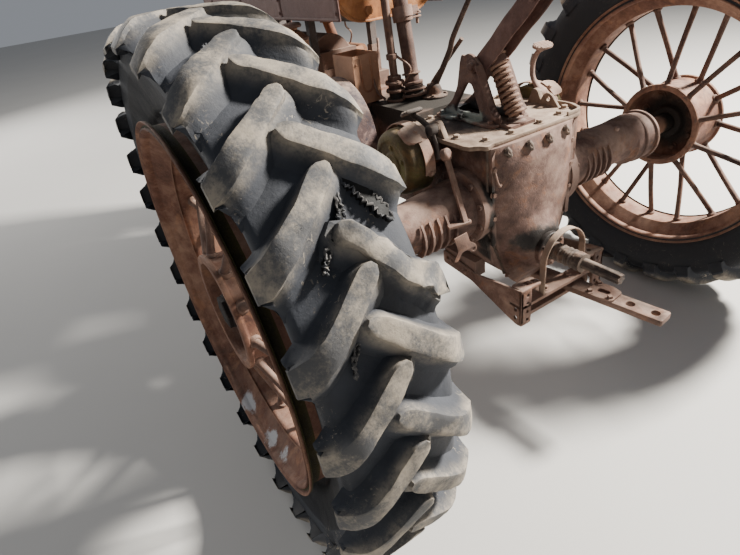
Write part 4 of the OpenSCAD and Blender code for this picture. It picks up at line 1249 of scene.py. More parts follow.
    def build(self, finishes: Finishes) -> list[bpy.types.Object]:
        """Makes the wheel.

        Args:
            finishes: The tractor's finishes.

        Returns:
            The rim and the spokes.
        """
        name, body = self.side.suffix, self.side.body
        rim = Skin()
        self.rim(rim)
        self.hub(rim)
        self.axle_shaft(rim)
        made = [rim.build("rear_rim_" + name + "_rolled", finishes.rim, Slot.RIM, body, crease=40,
                          replaces=["rear_rim_" + name])]
        rods = Skin()
        self.spokes(rods)
        # The right wheel's spokes take a darker copy of the iron than the left's, as painted shade.
        finish = finishes.steel if self.ragged_bead else finishes.shaded_spoke
        made.append(rods.build("rear_spokes_" + name, finish, Slot.RIM, body, crease=40))
        if self.ragged_bead:
            seat = Skin()
            self.bare_seat(seat)
            made.append(seat.build("rear_bead_seat_" + name, finishes.shaded_seat, Slot.RIM, body, crease=40))
        return made


def interp(values: Sequence[float], steps: int) -> list[float]:
    """Values between values, evenly, to match a smooth path."""
    out = []
    for a, b in zip(values, values[1:]):
        out += [a + (b - a) * k / steps for k in range(steps)]
    return [*out, values[-1]]


# Gear case, covers and axle


@dataclass
class CaseGroup:
    """The plate on the case, the rounded rear cover, bolts, seams and the horns' details."""

    finishes: Finishes
    plate_low: float = 0.925
    plate_t: float = 0.014
    cover_y: float = 0.11
    boss_z: float = 0.555

    def plate(self) -> None:
        """The thick plate with its wavy rear corner, ears and bolts."""
        skin = Skin()
        left = [(0.231, -0.276), (0.231, 0.02), (0.2335, 0.052), (0.228, 0.074), (0.214, 0.082), (0.203, 0.094),
                (0.199, 0.11), (0.188, 0.1145), (0.176, 0.109), (0.163, 0.1055), (0.148, 0.108)]
        right = [(-0.2, 0.112), (-0.216, 0.106), (-0.24, 0.06), (-0.2425, 0.04), (-0.244, -0.276)]
        outline = rounded(left, 0.007, 3) + rounded(right, 0.012, 3)
        skin.plate(outline, at(0, 0, self.plate_low), LEFT, AFT, self.plate_t,
                   [circle(-0.09, -0.255, 0.006, 12)], 0.0025)
        rim = [(-0.15, 0.1115), (-0.2005, 0.1115), (-0.217, 0.104), (-0.2405, 0.058), (-0.2435, 0.03),
               (-0.2435, -0.04)]
        inner = [(x + 0.009 if x < -0.19 else x, y - 0.007) for x, y in reversed(rim)]
        high = self.plate_low + self.plate_t
        skin.plate(rounded(rim, 0.008, 3) + rounded(inner, 0.006, 3), at(0, 0, high - 0.002), LEFT, AFT,
                   0.014, edge=0.002)
        for s in (1, -1):
            ear = rounded([(-0.112, 0.0), (-0.098, 0.03), (-0.09, 0.052), (-0.07, 0.052), (-0.058, 0.03),
                           (-0.04, 0.0)], 0.016, 4)
            skin.plate(ear, at(0.206 if s > 0 else -0.224, 0, high - 0.003), AFT, UP, 0.018, edge=0.002)
            skin.turned(collar(0.0102, 0.019, 0.0, 0.004, 0.001), at(s * 0.224, -0.08, 0.966), (s, 0, 0), 24,
                        closed=True)
        hole = rounded([(-0.056, 0.0), (-0.046, 0.03), (-0.026, 0.047), (-0.006, 0.042), (0.012, 0.02),
                        (0.03, 0.0)], 0.02, 4)
        skin.plate(hole, at(-0.214, 0, high - 0.003), AFT, UP, 0.01, [circle(-0.018, 0.026, 0.0075, 16)],
                   0.0015)
        for x, y in ((-0.15, 0.075), (-0.05, 0.085), (0.07, 0.085), (0.16, 0.07), (-0.2, -0.15), (-0.2, -0.24),
                     (0.195, -0.245), (0.195, -0.02), (-0.21, 0.045), (0.11, -0.255)):
            skin.bolt(at(x, y, high), UP, 0.0105, 0.009)
        skin.build("top_plate", self.finishes.cover, Slot.CASTING, crease=30, replaces=["top_cover"])

    def half_width(self, z: float) -> float:
        """Half the width of the rear cover at a height."""
        rows = ((0.402, 0.055), (0.42, 0.075), (0.45, 0.098), (0.5, 0.118), (0.59, 0.15), (0.69, 0.176),
                (0.93, 0.179))
        for (z0, w0), (z1, w1) in zip(rows, rows[1:]):
            if z <= z1:
                return w0 + (w1 - w0) * max(0.0, z - z0) / (z1 - z0)
        return rows[-1][1]

    def cover_depth(self, u: float, z: float) -> float:
        """How far back the cover stands at a share of its half width and a height."""
        soft = max(0.0, 1 - abs(u) ** 2.6)
        low = min(1.0, max(0.0, (z - 0.405) / 0.1)) ** 0.7
        high = 1.0 if z < 0.86 else 1.0 - 0.55 * ((z - 0.86) / 0.065) ** 1.4
        x = u * self.half_width(z)
        reach = hypot(x, z - self.boss_z)
        flare = 0.0 if reach > 0.15 else 0.046 * ((0.15 - reach) / 0.09) ** 2.2
        y = self.cover_y + 0.04 * soft**0.85 * low * high
        return min(0.186, y + min(flare, 0.046))

    def rear_cover(self) -> None:
        """The convex cover with its flange and the boss of the power take-off."""
        skin = Skin()
        across, rows = 40, 58
        rings = []
        for j in range(rows + 1):
            z = 0.402 + (0.925 - 0.402) * j / rows
            w = self.half_width(z)
            ring = []
            for i in range(across + 1):
                u = 2 * i / across - 1
                u = copysign(abs(u) ** 0.85, u)
                p = at(u * w, self.cover_depth(u, z), z)
                p.y += noise.fractal(p * 14, 1.0, 2.0, 3) * 0.0012
                ring.append(p)
            ring.append(at(w, 0.097, z))
            ring.append(at(-w, 0.097, z))
            rings.append(ring)
        skin.rings(rings)
        boss = at(0, 0, self.boss_z)
        skin.turned(rounded([(0.02, 0.1), (0.056, 0.1), (0.059, 0.176), (0.06, 0.204), (0.0335, 0.206),
                             (0.033, 0.16), (0.02, 0.16)], 0.004, 3, closed=True), boss, AFT, 56, closed=True)
        for s in (1, -1):
            skin.prism(rounded([(0.0, 0.6), (0.016, 0.6), (0.018, 0.9), (0.0, 0.925)], 0.006, 3),
                       at(s * 0.1795 - (0.018 if s > 0 else 0.0), 0.106, 0), LEFT, UP, -0.01)
        for place in ring_of(boss + Vector((0, 0.2045, 0)), 0.048, 6, 30, "xz"):
            skin.bolt(place, AFT, 0.0065, 0.006)
        skin.build("rear_cover_round", self.finishes.casting, Slot.CASTING, crease=42,
                   replaces=["rear_cover"])

    def notches(self) -> None:
        """Dark bolts under the plate, each with a dark tube as painted shadow in its notch, the seam, and bolts
        along the flange's edges.
        """
        dark = Skin()
        for x in (0.13, 0.05, -0.033, -0.118):
            y = self.cover_depth(x / 0.179, 0.905) - 0.004
            dark.turned([(0, 0), (0.0105, 0), (0.0105, 0.016), (0.0085, 0.018), (0, 0.018)], at(x, y, 0.904),
                        (0, 1, 0.3), 6)
            # A dark tube beside each bolt is painted shadow in its notch.
            dark.tube([at(x + 0.005, y + 0.006, 0.921), at(x - 0.001, y + 0.01, 0.909),
                       at(x - 0.006, y + 0.012, 0.893)], [0.007, 0.0095, 0.007], 10)
        seam = [at(0.1805, 0.0965, z) for z in (0.92, 0.86, 0.78, 0.7, 0.66)]
        seam += [at(x, 0.0965, z) for x, z in ((0.165, 0.62), (0.15, 0.575), (0.126, 0.52), (0.105, 0.46))]
        path = smooth_path(seam, 8)
        dice = random.Random(4)
        dark.tube(path, [dice.uniform(0.0035, 0.0065) for _ in path], 8)
        dark.build("cover_bolts_seam_and_notch_shadow", self.finishes.greasy, Slot.OILY, crease=45)
        skin = Skin()
        for s in (1, -1):
            for z in (0.86, 0.78, 0.7):
                skin.bolt(at(s * 0.171, 0.1125, z), AFT, 0.0085, 0.008)
        for x in (0.1, 0.05, -0.05, -0.1):
            skin.bolt(at(x, 0.106, 0.455 + 0.25 * x * x), AFT, 0.008, 0.007)
        strip = [(0.0, 0.0), (0.017, 0.0), (0.019, -0.09), (0.014, -0.24), (-0.002, -0.245), (0.0, -0.1)]
        skin.plate(rounded(strip, 0.006, 3), at(-0.204, 0.1, 0.925), LEFT, UP, -0.01,
                   [circle(0.009, -0.11, 0.004, 10)], 0.0015)
        hook = way([(0.168, 0.112, 0.862), (0.171, 0.121, 0.845), (0.166, 0.124, 0.822),
                    (0.158, 0.126, 0.808), (0.151, 0.124, 0.812)], 5)
        skin.tube(hook, 0.0052, 10)
        skin.bolt(at(0.168, 0.112, 0.86), AFT, 0.009, 0.007)
        skin.build("cover_bolts", self.finishes.steel, Slot.STEEL, crease=40)

    def horns(self) -> None:
        """Flange bolts, fins, ears and rings of the axle horns."""
        for s, name in ((1, "left"), (-1, "right")):
            skin = Skin()
            out = Vector((s, 0, 0))
            for place in ring_of(at(s * 0.2145, 0, 0.719), 0.111, 10, 18, "yz"):
                skin.bolt(place, out, 0.01, 0.009)
            for place in ring_of(at(s * 0.7121, 0, 0.705), 0.082, 8, 22.5, "yz"):
                skin.bolt(place, out, 0.0075, 0.007)
            for i in range(5):
                x = 0.305 + 0.03 * i
                turns = [(k, radians(-96 + k * 15.5)) for k in range(9)]
                foot = [(a, 0.087) for _, a in turns]
                top = [(a, 0.087 + 0.016 * sin(pi * (k + 0.35) / 9)) for k, a in reversed(turns)]
                rib = [(r * cos(a), 0.719 + r * sin(a)) for a, r in foot + top]
                skin.prism(rib, at(s * x - 0.004, 0, 0), AFT, UP, 0.008)
            skin.turned(rounded([(0.083, 0.636), (0.094, 0.64), (0.095, 0.652), (0.086, 0.656), (0.08, 0.645)],
                                0.003, 2, closed=True), at(0, 0, 0.708), out, 56, closed=True)
            skin.tube([at(s * 0.5, 0.05, 0.789), at(s * 0.5, 0.0545, 0.8)], [0.01, 0.008], 8)
            skin.build("horn_details_" + name, self.finishes.casting, Slot.CASTING, bevel=0.0012, crease=38)

    def links(self) -> None:
        """The flat link bar and the eye brackets beside the left side of the case."""
        skin = Skin()
        top, low = at(0.27, 0.012, 0.914), at(0.286, 0.108, 0.73)
        along = unit(low - top)
        side = unit(Vector((1, 0.35, 0)) - along * Vector((1, 0.35, 0)).dot(along))
        reach = (low - top).length
        bar = [(-0.012, -0.01), (0.012, -0.01), (0.011, reach + 0.01), (-0.011, reach + 0.01)]
        skin.plate(rounded(bar, 0.009, 4), top, side, along, 0.008, [circle(0, 0, 0.005, 12)], 0.0015)
        n = side.cross(along)
        pivot = [(0.0, -0.006), (0.019, -0.006), (0.019, 0.013), (0.012, 0.018), (0.0, 0.018)]
        skin.turned(rounded(pivot, 0.003, 3), top, n, 24)
        ear = rounded([(0.055, -0.012), (-0.004, -0.014), (-0.022, -0.004), (-0.02, 0.01), (0.0, 0.015),
                       (0.056, 0.014)], 0.01, 4)
        skin.plate(ear, low + Vector((0, 0, -0.006)), (1, -0.25, 0), (0.25, 1, 0), 0.009,
                   [circle(-0.008, 0.0, 0.006, 14)], 0.0015)
        bracket = rounded([(0.06, 0.02), (0.045, -0.03), (0.066, -0.062), (0.05, -0.066), (0.03, -0.038),
                           (0.006, -0.04), (-0.012, -0.06), (-0.03, -0.052), (-0.026, -0.03), (-0.002, -0.014),
                           (0.01, 0.024)], 0.01, 3)
        skin.plate(bracket, low + Vector((-0.004, 0.012, -0.05)), LEFT, UP, -0.009,
                   [circle(-0.016, -0.044, 0.0055, 14)], 0.0015)
        skin.build("link_bar_and_eyes", self.finishes.steel, Slot.STEEL, crease=35)

    def build(self) -> None:
        """Makes the group."""
        for step in (self.plate, self.rear_cover, self.notches, self.horns, self.links):
            step()


# Seat, pedals and levers


@dataclass
class SeatGroup:
    """A-shaped bracket, channel bar, coil spring and pressed pan."""

    finishes: Finishes
    pivot: Pair = (-0.096, 1.112)
    rise: float = 44.0
    bar_long: float = 0.446
    base: float = 0.939
    pan_sheet: float = 0.0035

    def bracket(self) -> None:
        """Two A-shaped cheeks with flanged rear edges on an oily foot."""
        skin = Skin()
        cheek = [(-0.266, 0.0), (-0.262, 0.016), (-0.232, 0.034), (-0.2, 0.062), (-0.176, 0.105),
                 (-0.166, 0.15), (-0.16, 0.182), (-0.15, 0.205), (-0.138, 0.2), (-0.126, 0.208),
                 (-0.104, 0.207), (-0.088, 0.196), (-0.064, 0.176), (-0.036, 0.118), (-0.004, 0.05),
                 (0.02, 0.026), (0.022, 0.0)]
        opening = rounded([(-0.196, 0.026), (-0.066, 0.026), (-0.082, 0.06), (-0.106, 0.118), (-0.128, 0.122)],
                          0.022, 5, closed=True)
        for x in (-0.054, 0.04):
            skin.plate(rounded(cheek, 0.012, 3, closed=True), at(x, 0, self.base), AFT, UP, 0.014,
                       [opening], 0.003)
        for s in (1, -1):
            edge = [(-0.07, 0.178), (-0.04, 0.122), (-0.01, 0.058), (0.014, 0.028)]
            path = smooth_path([at(s * 0.058, y, self.base + z) for y, z in edge], 5)
            rings = []
            for i, p in enumerate(path):
                ahead = unit(path[min(i + 1, len(path) - 1)] - path[max(i - 1, 0)])
                up = unit(Vector(LEFT).cross(ahead)) * 0.0035
                w = Vector((s * 0.0125, 0, 0))
                rings.append([p - w - up, p + w - up, p + w + up, p - w + up])
            skin.rings(rings)
            flange = [(s * 0.04, -0.268), (s * 0.084, -0.262), (s * 0.086, -0.2), (s * 0.074, -0.12),
                      (s * 0.084, -0.03), (s * 0.082, 0.018), (s * 0.04, 0.02)]
            skin.plate(rounded(flange[::s], 0.014, 3, closed=True), at(0, 0, self.base), LEFT, AFT, 0.011,
                       edge=0.003)
            for y in (-0.238, -0.15, -0.004):
                skin.bolt(at(s * 0.069, y, self.base + 0.011), UP, 0.01, 0.01)
            nut = [(0.0, 0.0), (0.021, 0.0), (0.02, 0.007), (0.012, 0.009), (0.012, 0.018), (0.0, 0.019)]
            skin.turned(rounded(nut, 0.002, 2), at(s * 0.053, *self.pivot), (s, 0, 0), 28)
        skin.block(at(-0.041, -0.262, self.base - 0.001), at(0.041, -0.22, self.base + 0.022))
        skin.turned([(0, -0.062), (0.01, -0.062), (0.01, 0.062), (0, 0.062)], at(0, *self.pivot), LEFT, 20)
        cup = [(0.0, 0.0), (0.034, 0.0), (0.034, 0.01), (0.026, 0.014), (0.026, 0.024), (0.0, 0.026)]
        skin.turned(rounded(cup, 0.003, 2), at(0, 0.036, self.base - 0.001), (0, -0.25, 1), 32)
        skin.block(at(-0.053, 0.004, self.base - 0.001), at(0.053, 0.066, self.base + 0.011))
        skin.build("seat_bracket_cheeks", self.finishes.bracket, Slot.OILY, bevel=0.0015, crease=36,
                   replaces=["seat_bracket"])

    def spring(self) -> None:
        """The rusted coil spring."""
        low, high = at(0, 0.036, 0.966), at(0, -0.052, 1.132)
        axis = unit(high - low)
        u, v = side_axes(axis)
        reach, wire, r = (high - low).length, 0.0056, 0.0245
        turns, steps = 10.5, 26
        count = int(turns * steps)
        pts = []
        for i in range(count + 1):
            t = i / count
            rise = wire + (reach - 2 * wire) * (t - 0.018 * sin(2 * pi * t))
            a = 2 * pi * turns * t
            pts.append(low + axis * rise + (u * cos(a) + v * sin(a)) * r)
        skin = Skin()
        skin.tube(pts, wire, 10)
        skin.turned([(0, -0.02), (0.011, -0.02), (0.011, reach + 0.02), (0, reach + 0.02)], low, axis, 14)
        washer = [(0.0, reach), (0.033, reach), (0.033, reach + 0.006), (0.0, reach + 0.008)]
        skin.turned(rounded(washer, 0.002, 2), low, axis, 28)
        skin.build("seat_coil", self.finishes.spring, Slot.STEEL, crease=50, replaces=["seat_spring"])

    def bar(self) -> None:
        """The rolled channel that carries the seat."""
        skin = Skin()
        a = radians(self.rise)
        along, up = Vector((0, cos(a), sin(a))), Vector((0, -sin(a), cos(a)))
        foot = at(0, *self.pivot) - along * 0.02
        w, hi, lo, t = 0.034, 0.023, -0.036, 0.006
        section = rounded([(-w, lo), (-w, hi), (w, hi), (w, lo), (w - t, lo), (w - t, hi - t), (-w + t, hi - t),
                           (-w + t, lo)], 0.0065, 4, closed=True)
        rings = []
        for k in range(13):
            d = (self.bar_long + 0.016) * k / 12
            sag = 0.0015 * sin(k * 1.7)
            rings.append([foot + Vector((x, 0, 0)) + up * (y + sag) + along * d for x, y in section])
        skin.rings(rings)
        for s in (1, -1):
            skin.bolt(foot + along * 0.3 + Vector((s * w, 0, 0)) - up * 0.01, (s, 0, 0), 0.01, 0.008)
        for d in (0.14, 0.4):
            skin.bolt(foot + along * d + up * hi, up, 0.0095, 0.008)
        top = foot + along * (self.bar_long + 0.004) + up * hi
        pad = rounded([(-0.04, -0.075), (0.04, -0.075), (0.04, 0.03), (-0.04, 0.03)], 0.012, 3, closed=True)
        skin.plate(pad, Vector((0, top.y, top.z - 0.006)), LEFT, AFT, 0.009)
        skin.tube([at(0, -0.03, 1.112), at(0, -0.062, 1.15)], [0.026, 0.022], 16)
        skin.build("seat_bar_channel", self.finishes.bar, Slot.STEEL, bevel=0.0, crease=36,
                   replaces=["seat_bar"])

    def slotted(self, row: int, column: int) -> bool:
        """Whether a cell of the pan is open."""
        return row in (7, 8, 12, 13, 14) and column % 8 in (2, 3, 4)

    def pan(self) -> None:
        """A pressed pan with slots, a raised nose and a rolled back."""
        low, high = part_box("seat_pan")
        c = Vector(((low.x + high.x) / 2, (low.y + high.y) / 2, low.z + 0.007))
        r_out = (high.x - low.x) / 2 - 0.006
        rise = high.z - low.z - 0.012
        skin = Skin()
        around, rows = 96, 22
        for drop in (0.0, self.pan_sheet):
            points, quads = [], []
            for j in range(rows + 1):
                f = j / rows
                for k in range(around):
                    a = 2 * pi * k / around
                    ahead, back = max(0.0, -sin(a)), max(0.0, sin(a))
                    r = f * r_out * (1 - 0.07 * ahead**2)
                    x, y = r * cos(a), r * sin(a)
                    dish = 0.068 * f**2.6 * (1 - 0.45 * ahead**3)
                    dish += (rise - 0.075) * back**1.5 * max(0.0, (f - 0.72) / 0.28) ** 1.3
                    ridge = 0.02 * exp(-((x / 0.045) ** 2)) * ahead**2 * f * (1 - f) * 4
                    points.append(c + Vector((x, y, dish + ridge - drop + 0.004)))
            for j in range(rows):
                for k in range(around):
                    if self.slotted(j, k):
                        continue
                    m = (k + 1) % around
                    quad = (j * around + k, j * around + m, (j + 1) * around + m, (j + 1) * around + k)
                    quads.append(quad[::-1] if drop else quad)
            skin.add(points, quads)
        total = (rows + 1) * around
        for j in range(rows + 1):
            for k in range(around):
                m = (k + 1) % around
                here = j < rows and self.slotted(j, k)
                if (here != self.slotted(j - 1, k)) and 0 < j < rows or j == rows:
                    skin.faces.append((j * around + k, j * around + m, total + j * around + m,
                                       total + j * around + k))
                if j < rows and here != self.slotted(j, k - 1):
                    skin.faces.append((j * around + k, (j + 1) * around + k, total + (j + 1) * around + k,
                                       total + j * around + k))
        skin.bolt(c + Vector((0, -0.02, 0.006)), UP, 0.013, 0.01, 2.0)
        skin.build("seat_pan_pressed", self.finishes.steel, Slot.STEEL, crease=50, replaces=["seat_pan"])

    def build(self) -> None:
        """Makes the group."""
        for step in (self.bracket, self.spring, self.bar, self.pan):
            step()


@dataclass
class Controls:
    """Pedals, levers, steering post, throttle tube and the sheet box ahead of the plate."""

    finishes: Finishes
    deck: float = 0.955

    def pad(self, skin: Skin, centre: Vector, tilt: float, ribs: int) -> None:
        """A ribbed oval pedal pad.

        Args:
            skin: Where it goes.
            centre: Its middle.
            tilt: Turn about X in degrees.
            ribs: Raised bars across it.
        """
        a = radians(tilt)
        ahead, up = Vector((0, cos(a), sin(a))), Vector((0, -sin(a), cos(a)))
        turns = [2 * pi * k / 28 for k in range(28)]
        oval = [(0.039 * copysign(abs(cos(t)) ** 0.8, cos(t)), 0.024 * copysign(abs(sin(t)) ** 0.8, sin(t)))
                for t in turns]
        skin.plate(oval, centre - up * 0.005, LEFT, ahead, 0.01, edge=0.003)
        for k in range(ribs):
            y = -0.017 + 0.034 * k / (ribs - 1)
            half = 0.035 * sqrt(max(0.1, 1 - (y / 0.026) ** 2))
            p = centre + ahead * y + up * 0.0055
            skin.tube([p - Vector((half, 0, 0)), p + Vector((half, 0, 0))], 0.0023, 8)

    def pedals(self) -> None:
        """Both pedals on their pivots."""
        left, right = Skin(), Skin()
        boss = rounded([(0.0, 0.0), (0.018, 0.0), (0.018, 0.03), (0.012, 0.034), (0.0, 0.034)], 0.002, 2)
        self.pad(left, at(0.252, -0.165, 1.01), 24, 5)
        arm = way([(0.247, -0.172, 1.0), (0.246, -0.146, 0.996), (0.245, -0.112, 0.984),
                   (0.244, -0.088, 0.968), (0.244, -0.062, 0.925), (0.246, -0.05, 0.88)], 5)
        left.tube(arm, 0.0105, 12, flat=0.62, hint=(0, 0, 1))
        left.turned(boss, at(0.2245, -0.08, 0.966), LEFT, 24)
        self.pad(right, at(-0.252, -0.093, 1.115), -16, 5)
        arm = way([(-0.25, -0.093, 1.106), (-0.248, -0.112, 1.092), (-0.247, -0.127, 1.06),
                   (-0.246, -0.126, 1.018), (-0.246, -0.104, 0.984), (-0.246, -0.08, 0.96)], 6)
        right.tube(arm, 0.0105, 12, flat=0.75, hint=(1, 0, 0))
        right.turned(boss, at(-0.2245, -0.08, 0.966), (-1, 0, 0), 24)
        left.build("brake_pedal_left", self.finishes.pad, Slot.STEEL, crease=40, replaces=["pedal_left"])
        right.build("brake_pedal_right", self.finishes.pink, Slot.STEEL, crease=40,
                    replaces=["pedal_right"])

    def levers(self) -> None:
        """The bent gear lever on its ball and the straight rod beside it."""
        skin = Skin()
        foot = at(-0.052, -0.432, self.deck)
        skin.turned(rounded([(0, 0), (0.05, 0), (0.05, 0.008), (0.032, 0.012), (0.028, 0.03), (0.022, 0.044),
                             (0.013, 0.05), (0.0, 0.052)], 0.005, 3), foot, UP, 36)
        for place in ring_of(foot + Vector((0, 0, 0.008)), 0.041, 4, 45):
            skin.bolt(place, UP, 0.007, 0.006)
        main = [(-0.052, -0.432, 0.975), (-0.06, -0.424, 1.01), (-0.07, -0.396, 1.06), (-0.078, -0.362, 1.12),
                (-0.079, -0.345, 1.16), (-0.088, -0.305, 1.228), (-0.1, -0.262, 1.3), (-0.1095, -0.24, 1.343)]
        path = way(main, 5)
        skin.tube(path, [0.0125 - 0.0045 * i / (len(path) - 1) for i in range(len(path))], 12)
        ball = [(0.0178 * sin(t), -0.0178 * cos(t)) for t in (pi * k / 10 for k in range(11))]
        skin.turned(ball, at(-0.112, -0.232, 1.356), UP, 24)
        rod = [(-0.107, -0.53, 0.96), (-0.109, -0.51, 0.99), (-0.12, -0.42, 1.082), (-0.128, -0.352, 1.15)]
        skin.tube(way(rod, 5), 0.0078, 10)
        boot = [(0, 0), (0.024, 0), (0.024, 0.01), (0.014, 0.014), (0.012, 0.026), (0, 0.028)]
        skin.turned(rounded(boot, 0.003, 2), at(-0.107, -0.53, self.deck), UP, 24)
        skin.build("levers_bent", self.finishes.lever, Slot.OILY, crease=45, replaces=["levers"])

    def post(self) -> None:
        """Clamps, flanges and rods round the steering post and the throttle tube."""
        skin = Skin()
        foot = at(0, -0.489, self.deck)
        lean = unit(at(0, -0.571, 1.572) - foot)
        for d, r, h in ((0.01, 0.054, 0.008), (0.03, 0.047, 0.007), (0.052, 0.04, 0.01), (0.088, 0.036, 0.006)):
            skin.turned(disc(r, h), foot + lean * d, lean, 36)
        for place in ring_of(foot + Vector((0, 0, 0.018)), 0.044, 4, 45):
            skin.bolt(place, UP, 0.007, 0.006)
        clamp = foot + lean * 0.285
        skin.turned(collar(0.027, 0.036, -0.014, 0.014, 0.003), clamp, lean, 32, closed=True)
        ear = rounded([(0, -0.01), (-0.052, -0.01), (-0.058, 0.0), (-0.052, 0.01), (0, 0.01)], 0.006, 3)
        for dz in (-0.006, 0.006):
            skin.plate(ear, clamp + Vector((-0.026, 0.0, dz - 0.003)), LEFT, AFT, 0.006)
        skin.bolt(clamp + Vector((-0.066, 0, 0.01)), UP, 0.008, 0.008)
        skin.tube([clamp + Vector((-0.066, 0, 0.02)), clamp + Vector((-0.066, 0, -0.03))], 0.0055, 10)
        side = at(0.062, -0.526, self.deck)
        for z in (0.0, 0.034, 0.062):
            skin.turned(disc(0.037, 0.01, 0.003), side + Vector((0, 0, z)), UP, 32)
        for place in ring_of(side + Vector((0, 0, 0.072)), 0.029, 3, 80):
            skin.bolt(place, UP, 0.006, 0.005)
        skin.turned(collar(0.015, 0.021, 0.0, 0.02), side + Vector((0, -0.004, 0.15)), (0, -0.05, 1), 28,
                    closed=True)
        rod = way([(0.03, -0.5, 1.02), (0.018, -0.48, 1.07), (0.044, -0.515, 1.11),
                   (0.05, -0.56, 1.13)], 5)
        skin.tube(rod, 0.005, 8)
        pipe = way([(0.1, -0.545, 0.965), (0.125, -0.56, 1.0), (0.118, -0.585, 1.06),
                    (0.075, -0.6, 1.12), (0.045, -0.64, 1.17)], 5)
        skin.tube(pipe, 0.005, 8)
        skin.build("post_fittings", self.finishes.steel, Slot.STEEL, crease=38)

    def box(self) -> None:
        """The rusted sheet box with a pressed U in its rear side."""
        low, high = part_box("tool_box")
        skin = Skin()
        t = 0.003
        x0, y0, z0, x1, y1, z1 = (*low, *high)
        low, high = (x0, y0, z0), (x1, y1, z1)
        for a, b in ((low, (x1, y0 + t, z1)), ((x0, y1 - t, z0), high), (low, (x0 + t, y1, z1)),
                     ((x1 - t, y0, z0), high), (low, (x1, y1, z0 + 0.004))):
            skin.block(a, b)
        lip, deep = 0.0035, 0.012
        skin.block((x0, y1 - lip, z1 - deep), (x1, y1, z1))
        skin.block((x1 - lip, y0, z1 - deep), (x1, y1, z1))
        mid_x = (x0 + x1) / 2
        press = ((-0.022, z1 - deep), (-0.022, z0 + 0.07), (-0.01, z0 + 0.045), (0.01, z0 + 0.045),
                 (0.022, z0 + 0.07), (0.022, z1 - deep))
        path = [(mid_x + dx, y1, z) for dx, z in press]
        skin.tube(smooth_path(path, 5), 0.0042, 8)
        for x in (x0 + 0.014, x1 - 0.014):
            for z in (z0 + 0.02, z1 - 0.03):
                skin.turned([(0, 0), (0.0055, 0), (0.004, 0.003), (0, 0.004)], Vector((x, y1, z)), AFT, 12)
        skin.build("sheet_box", self.finishes.tin, Slot.STEEL, bevel=0.001, crease=35,
                   replaces=["tool_box"])

    def build(self) -> None:
        """Makes the group."""
        for step in (self.pedals, self.levers, self.post, self.box):
            step()


# Brakes, belt pulley, power take-off and hitch


